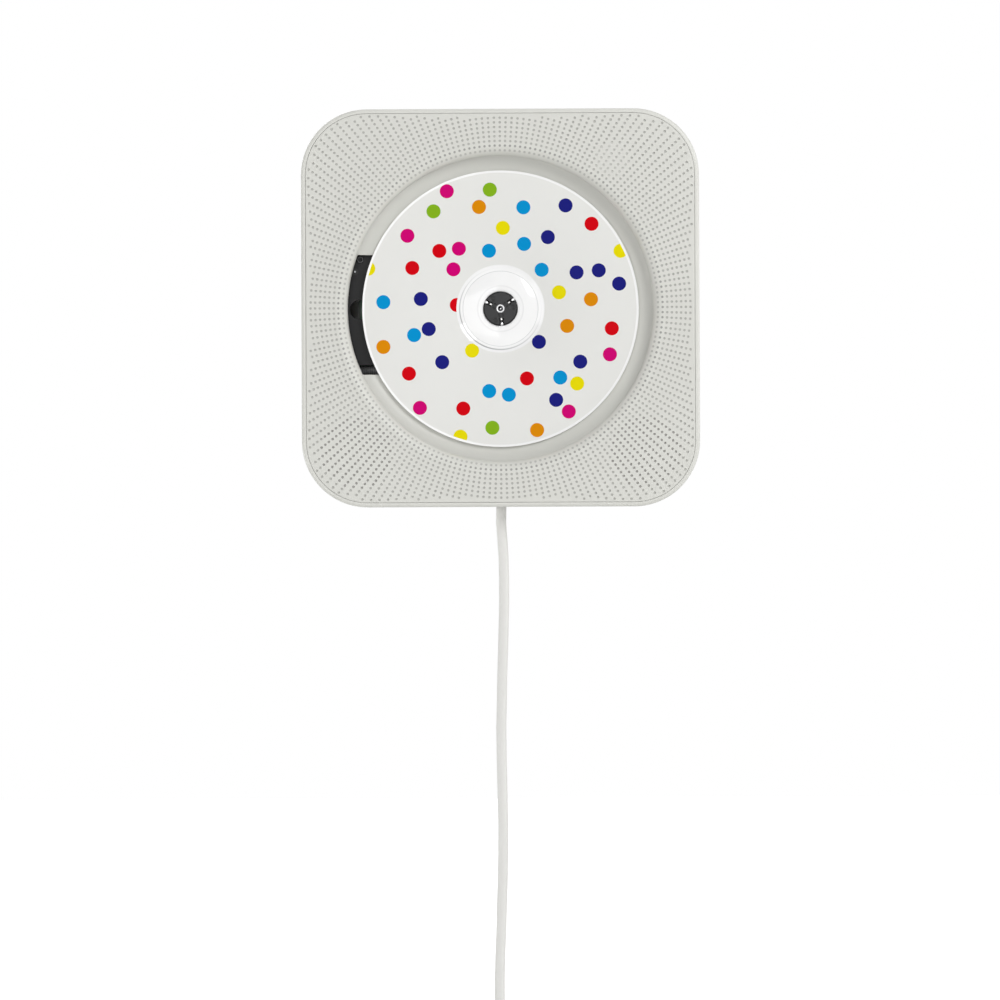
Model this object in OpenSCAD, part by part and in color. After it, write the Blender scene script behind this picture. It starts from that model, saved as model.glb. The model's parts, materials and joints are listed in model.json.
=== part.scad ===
// Wall mounted disc player: a square, shallow housing that hangs on a wall bracket,
// with the disc on show in a round well and a pull cord under it that works the switch.
// Each piece is drawn lying on its back: x to the right, y up the wall, z out of the wall.
// stand() turns it up, so that the wall is the plane y = 0 and the front faces -y.

/* [Body] */
// Width and height of the square body
body_w = 172; // [168:1:178]
// Depth from the wall to the front face
body_d = 41; // [40.5:0.5:44]
// Radius of the outline's four corners
corner_r = 28.5; // [27.5:0.5:31]
// Wall of the side frame
frame_wall = 1.9; // [1.6:0.1:2.2]
// Rounding of the side frame's front rim
rim_r = 1.4; // [0.8:0.1:1.5]
// Thickness of the grille panel
panel_t = 2.4; // [2:0.1:2.8]
// Gap between the grille panel and the side frame
panel_gap = 0.15; // [0.1:0.05:0.3]
// Rounding of the grille panel's front edge
panel_edge_r = 0.35; // [0.2:0.05:0.6]
// Thickness of the rear cover
cover_t = 2.5; // [2:0.1:3]
// Gap between the rear cover and the side frame
cover_gap = 0.2; // [0.1:0.05:0.4]

/* [Grille] */
// Number of radial lines that the holes lie on
hole_lines = 200; // [180:4:200]
// Distance from one ring of holes to the next
hole_pitch = 2; // [1.9:0.1:2.4]
// Diameter of a hole
hole_d = 1.1; // [0.9:0.1:1.3]
// Radius of the patch of open holes before each speaker
speaker_holes_r = 15.6; // [14:0.1:15.8]
// Radius of the patch of open holes before the remote sensor
sensor_holes_r = 7.6; // [6.8:0.1:7.8]

/* [Disc well] */
// Depth of the well's floor below the front face
well_depth = 11.1; // [10.8:0.1:11.4]
// Radius of the rolled lip round the well
lip_r = 4.8; // [4.4:0.1:5.2]
// Radius of the cove between the well's wall and floor
cove_r = 8; // [7.6:0.1:9]
// Wall of the well
well_wall = 2; // [1.8:0.1:2.2]
// Distance from the disc's edge to the well's wall
disc_margin = 6.3; // [6:0.1:6.6]
// Height of the window in the well's floor
window_h = 52; // [51:0.2:53]
// How far the window's middle lies below the disc's centre
window_drop = 2.4; // [2:0.1:2.8]
// Distance from the disc's centre to the window's right edge
window_right = 22; // [20:0.5:24]

/* [Disc and hub] */
// Diameter of the disc
disc_d = 120; // [119:0.5:121]
// Thickness of the disc
disc_t = 1.2; // [1.1:0.05:1.3]
// Bore of the disc
disc_bore_d = 15; // [14.9:0.1:15.2]
// Height of the disc's underside above the well's floor
disc_clear = 0.9; // [0.7:0.1:1.2]
// Diameter of the platter under the disc
platter_d = 32; // [30:0.5:33]
// Thickness of the platter
platter_t = 2.2; // [1.8:0.1:2.3]
// Gap round the hub in the disc's bore
hub_gap = 0.1; // [0.05:0.05:0.2]
// Height of the hub above the disc's underside
hub_h = 2.6; // [2.4:0.1:3]
// Diameter of the spindle
spindle_d = 3.6; // [3.4:0.1:3.8]
// Diameter of the three balls that hold the disc
ball_d = 1.8; // [1.7:0.1:2]
// How far a ball can be pressed in
ball_travel = 0.5; // [0.4:0.05:0.6]

/* [Mechanism] */
// Thickness of the mechanism's deck
deck_t = 1.6; // [1.4:0.1:1.8]
// Height of the deck's skirt under it
skirt_h = 8.6; // [8:0.2:9]
// Distance of the lens from the spindle when it is parked
lens_start = 24; // [23.5:0.5:25]
// Travel of the pickup sled
sled_travel = 34; // [30:0.5:34]
// Travel of the lens each way from rest as it focuses
lens_travel = 0.4; // [0.3:0.05:0.5]
// Diameter of the two guide rods
rod_d = 3; // [2.6:0.1:3.2]
// Diameter of the feed screw
feed_d = 3.6; // [3.4:0.1:3.8]
// Diameter of the spindle motor
spindle_motor_d = 23; // [21:0.5:24]
// Diameter of the sled motor
sled_motor_d = 8.8; // [8:0.1:9]

/* [Speakers] */
// Diameter of each speaker
speaker_d = 34.4; // [34:0.1:34.6]
// Distance of each speaker from the upright middle line
speaker_x = 62.5; // [62.4:0.1:62.8]
// Distance of each speaker below the level middle line
speaker_y = 62.5; // [62.4:0.1:62.8]
// Depth of a speaker's magnet
magnet_t = 7; // [6:0.5:9]

/* [Controls] */
// Width of a button
button_w = 9; // [8:0.2:9.6]
// Depth of a button
button_t = 5.5; // [5:0.1:6]
// Distance between neighbouring buttons
button_pitch = 12; // [11.8:0.1:12.4]
// How far a button stands proud of the top
button_proud = 0.5; // [0.3:0.1:0.8]
// Travel of a button
button_travel = 0.7; // [0.5:0.05:0.75]
// Width of the display window
display_w = 24; // [22:0.5:25]
// Depth of the display window
display_t = 9; // [8:0.2:9.6]

/* [Pull cord] */
// Diameter of the cord
cord_d = 4.4; // [4.2:0.1:4.5]
// Distance of the cord's middle behind the well's underside
cord_drop = 5.9; // [5.7:0.1:6.1]
// Travel of the pull switch
pull_travel = 6; // [5:0.1:6]
// Turns in the coil of spare cord
coil_turns = 10; // [8:1:10]
// Radius of the coil's innermost turn, at the middle of the cord
coil_r = 17.8; // [17.6:0.1:18.5]
// Distance between neighbouring turns
coil_pitch = 5; // [4.95:0.05:5.2]
// Layers of turns in the coil
coil_layers = 4; // [4:2:4]
// Width of the plug
plug_w = 24; // [22:0.5:26]
// Thickness of the plug
plug_t = 13; // [12:0.5:13]

/* [Wall bracket] */
// Width of the bracket
bracket_w = 96; // [92:1:100]
// Height of the bracket
bracket_h = 60; // [56:1:64]
// Thickness of the bracket's sheet
bracket_t = 1.2; // [1:0.1:1.4]
// Distance between the screw holes across
bracket_hole_x = 76; // [70:1:80]
// Distance between the screw holes up the wall
bracket_hole_y = 40; // [36:1:44]
// Diameter of a screw hole
bracket_hole_d = 4.5; // [4:0.1:5]
// How far the body lifts before it comes off the hooks
lift_travel = 8; // [7.5:0.1:8.5]

/* [Hidden] */
$fn = 96;
// Depth by which fused shapes run into each other
overlap = 0.4;
// Depth by which a cutting shape runs past a face
past = 1;

// Levels out of the wall, from the back to the front
bracket_gap = 0.3;
back_z = bracket_t + bracket_gap;
cover_z = back_z + cover_t;
panel_z = body_d - panel_t;
crease_z = body_d - lip_r;
floor_z = body_d - well_depth;
under_z = floor_z - well_wall;
disc_z = floor_z + disc_clear;
cord_z = under_z - cord_drop;
deck_gap = 0.7;
deck_z = under_z - deck_gap;
deck_under = deck_z - deck_t;
skirt_z = deck_under - skirt_h;
board_z = cover_z + 4;
board_t = 1.6;
board_top = board_z + board_t;
// Room for parts between the boards and the well, and under the mechanism
tall_room = under_z - board_top;
low_room = skirt_z - board_top;

// Outlines seen from the front
half = body_w / 2;
inner = half - frame_wall;
inner_r = corner_r - frame_wall;
arc_c = half - corner_r;
ledge_w = 1;
ledge_t = 1.6;
panel_w = 2 * (inner - panel_gap);
panel_r = inner_r - panel_gap;
cover_w = 2 * (inner - cover_gap);
cover_r = inner_r - cover_gap;

// The well, its lip and the rings of holes round them
cove_c = disc_d / 2;
well_r = cove_c + disc_margin;
lip_c = well_r + lip_r;
// Height at which the cove meets the wall
cove_top = floor_z + cove_r - sqrt(cove_r * cove_r - disc_margin * disc_margin);
first_ring = lip_c + 0.9;
hole_rings = 17;
sensor_x = 48.5;
sensor_y = 63.8;

// Ears that hold the well to bosses behind the panel
ear_r = lip_c + 5.4;
ear_t = 2;
ear_w = 7;
boss_r = 3;
screw_r = 1;
screw_head_r = 2.6;
screw_head_t = 1.2;

// Window and the posts that carry the mechanism
window_top = window_h / 2 - window_drop;
window_bottom = -window_h / 2 - window_drop;
post_r = 2.1;
grommet_r = 4;
grommet_neck_r = 3;
post_xs = [-46, 16];
post_ys = [window_top + grommet_r + 0.2, window_bottom - grommet_r - 0.2];
flange_t = 0.9;
post_end = deck_under - flange_t - 0.2;

// Deck outline and what it carries
deck_left = -(well_r + 4.7);
deck_right = window_right + 2;
skirt_wall = 1.6;
running = 0.05;
clear = 0.3;
deck_top = post_ys[0] + grommet_r + clear + skirt_wall;
deck_bottom = post_ys[1] - grommet_r - clear - skirt_wall;
lens_hole_r = 4.1;
lens_slot_end = lens_start + sled_travel + 3.4;
rod_z = deck_under - 5.1;
rod_ys = [18, -19];
feed_y = window_bottom + 2.2;
feed_left = deck_left + skirt_wall + 2;
feed_right = 2.4;
journal_r = 1;
sled_motor_l = 9.5;
sled_motor_x = feed_right + 0.6;
motor_gap = 4;
motor_h = deck_under - board_top - motor_gap;
motor_boss_r = 6;
motor_boss_h = 1;

// Hub
hub_r = disc_bore_d / 2 - hub_gap;
ball_angles = [35.5, 155.5, 275.5];
ball_c = hub_r - ball_d / 2;
ball_z = disc_z + disc_t + 0.2;
ball_slot_w = ball_d + 0.2;
spring_post_r = ball_c - ball_d / 2 - ball_travel - 1;
shaft_top = disc_z + hub_h + 0.2;
shaft_bore_r = 1.1;
shaft_bore_l = 2.4;
// Short grooves beside the spindle, and round marks of the mould's pins
groove_w = 0.7;
groove_l = 1.3;
groove_off = 0.9;
mark_r = 1.1;
mark_at = 5.5;
mark_turn = -29.5;
shaft_bottom = deck_under - motor_h + 1.1;

// Sled
sled_l = 19.5;
sled_right = -(spindle_motor_d / 2 + 3);
sled_left = sled_right - sled_l;
sled_top = deck_under - 0.5;
sled_h = 10;
sled_wall = 1.2;
sled_ys = [-15, 13];
sleeve_r = rod_d / 2 + 1.5;
lens_r = 2.2;
holder_r = 3.2;
holder_h = 6.4;

// Speakers
gasket_t = 1;
speaker_r = speaker_d / 2;
flange_w = 1.7;
cloth_t = 0.4;
flange_z = panel_z - gasket_t - 1;
basket_h = 8.6;
magnet_r = 10.5;

// Top controls
controls_z = 21;
button_xs = [for (k = [0:2]) display_w / 2 + 10 + k * button_pitch];
button_gap = 0.2;
button_flange = 1;
button_flange_t = 1;
button_under = inner - 0.1 - button_flange_t;
switch_top = button_under - 0.8 - button_travel - 0.1;
switch_h = 3.4;
controls_board_y = switch_top - switch_h;
controls_board_t = 13;
board_post_r = 2.5;
board_post_x = button_xs[2] + button_w / 2 + button_flange + board_post_r + 1;
controls_board_w = 2 * (board_post_x + board_post_r + 0.5);

// Pull switch, measured up from the side frame's inner face
guide_wall = 2;
guide_lift = 3.1;
guide_bottom = guide_lift + guide_wall - inner;
slider_w = 16.2;
slider_l = 18;
slider_top = guide_bottom + 1 + pull_travel + slider_l;
slider_back = cord_z - 9.2;
slider_front = cord_z + 5;
guide_top = slider_top + 12;
guide_back = slider_back - clear;
anchor_head_r = 4.4;
anchor_head_l = 4;
anchor_r = 3.9;
anchor_tip_r = cord_d / 2 + 0.3;
anchor_l = 20;
anchor_top = slider_top - 2;
anchor_tip = anchor_top - anchor_head_l - anchor_l;
bush_bore = anchor_tip_r + 0.5;
bush_r = bush_bore + 2;
bush_flange_r = bush_r + 1.5;
bush_flange_t = 1.8;

// The lead's own points from the anchor down, as x and y
lead_end = 338;
lead_points = [[0, -80], [0, -88], [-0.1, -93], [0.4, -100], [0.9, -108], [1.1, -117],
    [1.1, -127], [0.8, -138], [0.5, -149], [0.1, -160], [-0.1, -171], [-0.4, -182],
    [-0.3, -193], [-0.1, -204], [0.1, -215], [0.3, -226], [0.2, -237], [0, -248],
    [-0.4, -259], [-0.7, -270], [-1.2, -281], [-1.5, -292], [-1.5, -303], [-1, -314],
    [-0.3, -324]];
lead_sides = 10;

// The coil lies against the wall, its right side under the lead
layer_pitch = 5;
layer_turns = coil_turns / coil_layers;
coil_out = coil_r + layer_turns * coil_pitch;
coil_x = -coil_out;
coil_y = -lead_end;
loop_rings = 24;
coil_sides = 6;
coil_tail = 12;
coil_z_end = cord_z - (coil_layers - 1) * layer_pitch;
tie_w = 10;
tie_t = 1;

function sum(v, k = 0) = k < len(v) ? v[k] + sum(v, k + 1) : 0;
function unit(v) = v / norm(v);

// Rising from 0 to 1 and back over two layers
function zigzag(u) = abs(u % 2 - 1);
// Layer, with each climb in the half turn round a reversal
function climb(t) =
    let (k = floor(t / layer_turns + 0.5), off = t - k * layer_turns)
    k <= 0 ? 0 : k >= coil_layers ? coil_layers - 1
    : k - 0.5 + max(-0.5, min(0.5, off / 0.5));
function coil_point(t) =
    let (r = coil_r + (coil_out - coil_r) * zigzag(t / layer_turns))
    [coil_x + r * cos(-360 * t), coil_y + r * sin(-360 * t), cord_z - layer_pitch * climb(t)];
coil_path = concat(
    [[0, coil_y + cord_d, cord_z]],
    [for (k = [0:coil_turns * loop_rings]) coil_point(k / loop_rings)],
    [[0, coil_y - cord_d, coil_z_end], [0, coil_y - coil_tail, coil_z_end]]);
lead_path = concat([for (p = lead_points) [p[0], p[1], cord_z]], [[0, coil_y + cord_d, cord_z]]);

// Least gap between stretches of the coil that are over half a turn apart
coil_gap = min([for (i = [0:len(coil_path) - 1])
    min([1000, for (j = [i + loop_rings / 2 + 1:1:len(coil_path) - 1])
        norm(coil_path[i] - coil_path[j])])]) - cord_d;
function path_length(p) = sum([for (k = [1:len(p) - 1]) norm(p[k] - p[k - 1])]);
echo(coil_gap = coil_gap, cord_length = path_length(lead_path) + path_length(coil_path));

// A tube of the given radius swept along points
module tube(path, r, sides) {
    n = len(path);
    dirs = [for (k = [0:n - 1]) unit(path[min(k + 1, n - 1)] - path[max(k - 1, 0)])];
    rings = [for (k = [0:n - 1])
        let (side = unit(cross(dirs[k], [0, 0, 1])), up = cross(side, dirs[k]))
        for (s = [0:sides - 1])
            path[k] + r * (cos(360 * s / sides) * side + sin(360 * s / sides) * up)];
    walls = [for (k = [0:n - 2], s = [0:sides - 1])
        let (a = k * sides + s, b = k * sides + (s + 1) % sides)
        each [[a, b, b + sides], [a, b + sides, a + sides]]];
    starts = [for (s = [1:sides - 2]) [0, s + 1, s]];
    ends = [for (s = [1:sides - 2]) let (e = (n - 1) * sides) [e, e + s, e + s + 1]];
    polyhedron(rings, concat(walls, starts, ends));
}

// Turns what was drawn lying on its back up against the wall
module stand() {
    rotate([90, 0, 0]) children();
}

module round_square(w, r) {
    square([w, w - 2 * r], center = true);
    square([w - 2 * r, w], center = true);
    for (x = [-1, 1], y = [-1, 1]) translate([x, y] * (w / 2 - r)) circle(r);
}

module round_rect(w, h, r) {
    square([w, h - 2 * r], center = true);
    square([w - 2 * r, h], center = true);
    for (x = [-1, 1], y = [-1, 1]) translate([x * (w / 2 - r), y * (h / 2 - r)]) circle(r);
}

// A bar with round ends, w long and h wide
module capsule(w, h) {
    square([w - h, h], center = true);
    for (x = [-1, 1]) translate([x * (w - h) / 2, 0]) circle(h / 2);
}

// Carries a section round a square of width w: its x runs inwards from 0 to minus
module sweep_square(w, r) {
    straight = w - 2 * r;
    for (q = [0:3]) rotate(90 * q) {
        translate([straight / 2, straight / 2, 0])
            rotate_extrude(angle = 90) translate([r, 0]) children();
        translate([w / 2, 0, 0])
            rotate([90, 0, 0]) linear_extrude(straight, center = true) children();
    }
}

// A cylinder along the height of the body, from y = low to y = high
module upright(low, high, r1, r2) {
    translate([0, low, 0]) rotate([-90, 0, 0]) cylinder(h = high - low, r1 = r1, r2 = r2);
}

// A flat shape in x and z, made solid from y = low to y = high
module slab(low, high) {
    translate([0, high, 0]) rotate([90, 0, 0]) linear_extrude(high - low) children();
}

module at_speakers() {
    for (x = [-1, 1]) translate([x * speaker_x, -speaker_y, 0]) children();
}

module at_posts() {
    for (x = post_xs, y = post_ys) translate([x, y, 0]) children();
}

module at_ears() {
    for (q = [0:3]) rotate(90 * q) translate([ear_r, 0, 0]) children();
}

module at_cover_screws() {
    d = arc_c + (inner_r - 3.1) / sqrt(2);
    for (x = [-1, 1], y = [-1, 1]) translate([x * d, y * d, 0]) children();
}

// A countersunk or cheese head screw along z, its head's top at 0, pointing to +z
module screw(head_r, head_t, r, l) {
    cylinder(h = head_t, r = head_r);
    translate([0, 0, head_t]) cylinder(h = l, r = r);
}

/* Wall bracket and rear */

hook_y = 12;
hook_w = 8;
hook_x = 30;
hook_reach = cover_z + 0.2 + bracket_t;
tongue_h = lift_travel - 2;

// The hook from the side: a leg out of the wall with a tongue that stands up
module hook_section() {
    translate([hook_y, bracket_t / 2]) square([bracket_t, hook_reach - 1.5 * bracket_t]);
    translate([hook_y + bracket_t, hook_reach - bracket_t]) {
        intersection() {
            circle(bracket_t);
            translate([-bracket_t, 0]) square([2 * bracket_t, bracket_t]);
        }
        square([tongue_h - bracket_t / 2, bracket_t]);
        translate([tongue_h - bracket_t / 2, bracket_t / 2]) circle(bracket_t / 2);
    }
}

module wall_bracket() color("silver") stand() {
    difference() {
        linear_extrude(bracket_t) round_rect(bracket_w, bracket_h, 5);
        for (x = [-1, 1], y = [-1, 1])
            translate([x * bracket_hole_x / 2, y * bracket_hole_y / 2, -past])
                cylinder(h = bracket_t + 2 * past, d = bracket_hole_d);
    }
    for (x = [-1, 1]) translate([x * hook_x - hook_w / 2, 0, 0])
        rotate([90, 0, 90]) linear_extrude(hook_w) hook_section();
}

pad_r = 5;
pad_x = 62;
pad_y = -52;

module wall_pads() color("dimgray") stand() {
    for (x = [-1, 1]) translate([x * pad_x, pad_y, 0.1]) cylinder(h = back_z - 0.1, r = pad_r);
}

main_board_x = [-62, 26];
main_board_y = [-34, 62];
power_board_x = [32, 78];
power_board_y = [-36, 30];
board_inset = 4;
board_posts = concat(
    [for (x = [main_board_x[0] + board_inset, main_board_x[1] - board_inset],
        y = [main_board_y[0] + board_inset, main_board_y[1] - board_inset]) [x, y]],
    [for (x = [power_board_x[0] + board_inset, power_board_x[1] - board_inset],
        y = [power_board_y[0] + board_inset, power_board_y[1] - board_inset]) [x, y]]);
guide_posts = [guide_top - 6, guide_bottom + 6];
cover_post_h = 12;
cover_screw_l = 7;
vent_w = 2;
vent_l = 18;
vent_pitch = 5;
vents = 8;
vent_xs = [for (k = [0:vents - 1]) (k - (vents - 1) / 2) * vent_pitch];
vent_y = 66;

module rear_cover() color("gainsboro") stand() {
    slot_top = hook_y + bracket_t + 0.05;
    slot_h = lift_travel + bracket_t + 0.6;
    difference() {
        union() {
            translate([0, 0, back_z]) linear_extrude(cover_t) round_square(cover_w, cover_r);
            for (p = board_posts) translate([p[0], p[1], cover_z - overlap])
                cylinder(h = board_z - cover_z + overlap, r = boss_r);
            for (y = guide_posts) translate([0, y, cover_z - overlap])
                cylinder(h = guide_back - guide_wall - cover_z + overlap, r = boss_r);
        }
        for (x = [-1, 1]) translate([x * hook_x - hook_w / 2 - past, slot_top - slot_h, 0])
            cube([hook_w + 2 * past, slot_h, cover_z + past]);
        // Vents, left out below where the guide's post stands
        for (y = [-1, 1], x = vent_xs) if (y > 0 || abs(x) > boss_r + vent_w)
            translate([x, y * vent_y, back_z - past])
                linear_extrude(cover_t + 2 * past) rotate(90) capsule(vent_l - 4, vent_w);
        at_cover_screws() {
            translate([0, 0, back_z - past]) cylinder(h = cover_t + 2 * past, r = 1.7);
            translate([0, 0, back_z - past]) cylinder(h = past + 1.4, r = 3);
        }
        for (p = board_posts) translate([p[0], p[1], cover_z - overlap])
            cylinder(h = board_z, r = screw_r);
    }
}

module cover_screws() color("silver") stand() {
    at_cover_screws() translate([0, 0, back_z + 0.2]) screw(2.7, 1.2, 1.25, cover_screw_l);
}

/* Front housing */

// Section of the side frame with its two ledges, outer face at x = 0
module frame_section() {
    difference() {
        translate([-frame_wall, back_z]) square([frame_wall, body_d - back_z]);
        translate([-rim_r, body_d - rim_r]) difference() {
            square(rim_r + past);
            circle(rim_r);
        }
    }
    ledge = [ledge_w + frame_wall / 2, ledge_t];
    translate([-frame_wall - ledge_w, panel_z - ledge_t]) square(ledge);
    translate([-frame_wall - ledge_w, cover_z]) square(ledge);
}

module side_frame() color("gainsboro") stand() {
    difference() {
        union() {
            sweep_square(body_w, corner_r) frame_section();
            at_cover_screws() translate([0, 0, cover_z]) cylinder(h = cover_post_h, r = 3.5);
            for (x = [-1, 1]) translate([x * board_post_x, 0, controls_z])
                upright(controls_board_y, inner + overlap, board_post_r, board_post_r);
        }
        at_cover_screws() translate([0, 0, cover_z - past])
            cylinder(h = cover_post_h - 2 + past, r = 1.25);
        for (x = [-1, 1]) translate([x * board_post_x, 0, controls_z])
            upright(controls_board_y - past, controls_board_y + 4, screw_r, screw_r);
        for (s = [-1, 1], x = button_xs) translate([s * x, 0, controls_z])
            slab(inner - past, half + past) capsule(button_w + 2 * button_gap, button_t + 2 * button_gap);
        translate([0, 0, controls_z]) slab(inner - past, half + past)
            square([display_w + 0.2, display_t + 0.2], center = true);
        translate([0, 0, cord_z]) upright(-half - past, -inner + past, bush_r, bush_r);
    }
}

// Section of the panel's edge strip, outer face at x = 0
module panel_edge_section() {
    difference() {
        translate([-4, panel_z]) square([4, panel_t]);
        translate([-panel_edge_r, body_d - panel_edge_r]) difference() {
            square(panel_edge_r + past);
            circle(panel_edge_r);
        }
    }
}

// Quarter of a ring in the r and z plane, on the side given by a and b
module quarter_ring(r_out, r_in, a, b) {
    intersection() {
        difference() {
            circle(r_out);
            circle(r_in);
        }
        translate([a < 0 ? -r_out - past : 0, b < 0 ? -r_out - past : 0]) square(r_out + past);
    }
}

function before_speaker(x, y) = norm([abs(x) - speaker_x, y + speaker_y]) < speaker_holes_r;
function before_sensor(x, y) = norm([x - sensor_x, y - sensor_y]) < sensor_holes_r;

// Open holes on the rings and radial lines, where a speaker or the sensor lies behind
module open_holes() {
    for (ring = [0:hole_rings - 1], line = [0:hole_lines - 1])
        let (r = first_ring + ring * hole_pitch, a = line * 360 / hole_lines,
            x = r * cos(a), y = r * sin(a))
        if (before_speaker(x, y) || before_sensor(x, y))
            translate([x, y, panel_z - past]) cylinder(h = panel_t + 2 * past, d = hole_d);
}

sensor_post_x = sensor_holes_r + hole_d / 2 + 2;
sensor_drop = 8;
sensor_board_z = panel_z - sensor_drop;

module front_grille() color("whitesmoke") stand() {
    difference() {
        union() {
            sweep_square(panel_w, panel_r) panel_edge_section();
            translate([0, 0, panel_z]) linear_extrude(panel_t) difference() {
                round_square(panel_w - 6, panel_r - 3);
                circle(lip_c);
            }
            rotate_extrude() translate([lip_c, crease_z])
                quarter_ring(lip_r, lip_r - panel_t, -1, 1);
            at_ears() translate([0, 0, crease_z])
                cylinder(h = panel_z - crease_z + overlap, r = boss_r);
            for (s = [-1, 1]) translate([sensor_x + s * sensor_post_x, sensor_y, sensor_board_z])
                cylinder(h = panel_z - sensor_board_z + overlap, r = 1.8);
        }
        open_holes();
        at_ears() translate([0, 0, crease_z - past]) cylinder(h = 4 + past, r = screw_r);
    }
}

// An ear in plan, from inside the well's wall out to its screw
module ear_plan() {
    circle(ear_w / 2);
    translate([well_r + overlap - ear_r, -ear_w / 2]) square([ear_r - well_r - overlap, ear_w]);
}

// Section of the well: its flat floor, the shallow cove and the upright wall
module well_section() {
    translate([0, under_z]) square([cove_c, well_wall]);
    intersection() {
        translate([cove_c, floor_z + cove_r])
            quarter_ring(cove_r + well_wall, cove_r, 1, -1);
        translate([cove_c - past, under_z])
            square([disc_margin + well_wall + past, crease_z - under_z]);
    }
    translate([well_r, cove_top - 0.2]) square([well_wall, crease_z - cove_top + 0.2]);
}

module disc_well() color("whitesmoke") stand() {
    difference() {
        union() {
            rotate_extrude() well_section();
            at_ears() translate([0, 0, crease_z - ear_t]) linear_extrude(ear_t) ear_plan();
            at_posts() translate([0, 0, post_end])
                cylinder(h = under_z - post_end + overlap, r = post_r);
        }
        translate([0, 0, under_z - past]) linear_extrude(crease_z) intersection() {
            translate([-well_r - past, window_bottom])
                square([well_r + past + window_right, window_h]);
            circle(well_r);
        }
        at_ears() translate([0, 0, crease_z - ear_t - past])
            cylinder(h = ear_t + 2 * past, r = screw_r + 0.2);
        at_posts() translate([0, 0, post_end - past]) cylinder(h = 3.4 + past, r = 0.8);
    }
}

module well_screws() color("silver") stand() {
    at_ears() translate([0, 0, crease_z - ear_t - screw_head_t])
        screw(screw_head_r, screw_head_t, screw_r, ear_t + 3.6);
}

/* Disc mechanism */

module deck_plan() {
    translate([(deck_left + deck_right) / 2, (deck_top + deck_bottom) / 2])
        round_rect(deck_right - deck_left, deck_top - deck_bottom, 4);
}

module deck_inside_plan() {
    translate([(deck_left + deck_right) / 2, (deck_top + deck_bottom) / 2])
        round_rect(deck_right - deck_left - 2 * skirt_wall,
            deck_top - deck_bottom - 2 * skirt_wall, 4 - skirt_wall);
}

module mech_deck() color("dimgray") stand() {
    difference() {
        union() {
            difference() {
                translate([0, 0, skirt_z]) linear_extrude(deck_z - skirt_z) deck_plan();
                translate([0, 0, skirt_z - past]) linear_extrude(skirt_h + past) deck_inside_plan();
            }
            // Saddle that the sled motor lies in
            translate([sled_motor_x + 2, feed_y - sled_motor_d / 2 - 1, rod_z])
                cube([6, sled_motor_d + 2, deck_under - rod_z + overlap]);
        }
        at_posts() translate([0, 0, deck_under - past])
            cylinder(h = deck_t + 2 * past, r = grommet_neck_r);
        translate([0, 0, deck_under - past])
            cylinder(h = deck_t + 2 * past, r = motor_boss_r + 0.1);
        // Way of the lens, with a round end just past the disc's edge
        translate([-lens_slot_end / 2 - lens_start / 2, 0, deck_under - past])
            linear_extrude(deck_t + 2 * past)
                capsule(lens_slot_end - lens_start + 2 * lens_hole_r, 2 * lens_hole_r);
        // Slot over the feed screw
        translate([feed_left / 2 - 1, feed_y, deck_under - past])
            linear_extrude(deck_t + 2 * past) capsule(-feed_left - 4, feed_d + 0.6);
        for (y = rod_ys) translate([deck_left - past, y, rod_z]) rotate([0, 90, 0])
            cylinder(h = deck_right - deck_left + 2 * past, d = rod_d);
        translate([deck_left - past, feed_y, rod_z]) rotate([0, 90, 0])
            cylinder(h = skirt_wall + 2 * past, r = journal_r + running);
        translate([sled_motor_x, feed_y, rod_z]) rotate([0, 90, 0])
            cylinder(h = sled_motor_l, d = sled_motor_d);
    }
}

// Rubber bush in the deck, loose round the well's post
module deck_grommets() color("black") stand() {
    at_posts() rotate_extrude() {
        translate([post_r + 0.1, deck_z]) square([grommet_r - post_r - 0.1, deck_gap]);
        translate([post_r + 0.1, deck_under]) square([grommet_neck_r - post_r - 0.1, deck_t]);
        translate([post_r + 0.1, deck_under - flange_t])
            square([grommet_r - post_r - 0.1, flange_t]);
    }
}

module deck_screws() color("silver") stand() {
    at_posts() translate([0, 0, post_end - 1]) screw(3.2, 1, 0.8, 3);
}

module spindle_motor() color("silver") stand() {
    difference() {
        union() {
            translate([0, 0, deck_under - motor_h]) cylinder(h = motor_h, d = spindle_motor_d);
            translate([0, 0, deck_under - overlap])
                cylinder(h = motor_boss_h + overlap, r = motor_boss_r);
        }
        translate([0, 0, shaft_bottom - 0.1])
            cylinder(h = motor_h + motor_boss_h, r = spindle_d / 2 + running);
    }
}

module spindle_shaft() color("silver") stand() {
    difference() {
        translate([0, 0, shaft_bottom]) cylinder(h = shaft_top - shaft_bottom, d = spindle_d);
        translate([0, 0, shaft_top - shaft_bore_l])
            cylinder(h = shaft_bore_l + past, r = shaft_bore_r);
    }
}

platter_neck_r = 4;

module platter() color("white") stand() {
    neck_z = deck_under + motor_boss_h + 0.3;
    difference() {
        union() {
            translate([0, 0, disc_z - platter_t]) cylinder(h = platter_t, d = platter_d);
            translate([0, 0, neck_z]) cylinder(h = disc_z - neck_z - overlap, r = platter_neck_r);
        }
        translate([0, 0, neck_z - past]) cylinder(h = disc_z, d = spindle_d);
        // Hollow under the rim
        translate([0, 0, disc_z - platter_t - past]) difference() {
            cylinder(h = platter_t - 1.2 + past, r = platter_d / 2 - 1.2);
            cylinder(h = platter_t + past, r = platter_neck_r + 2);
        }
    }
}

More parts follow.
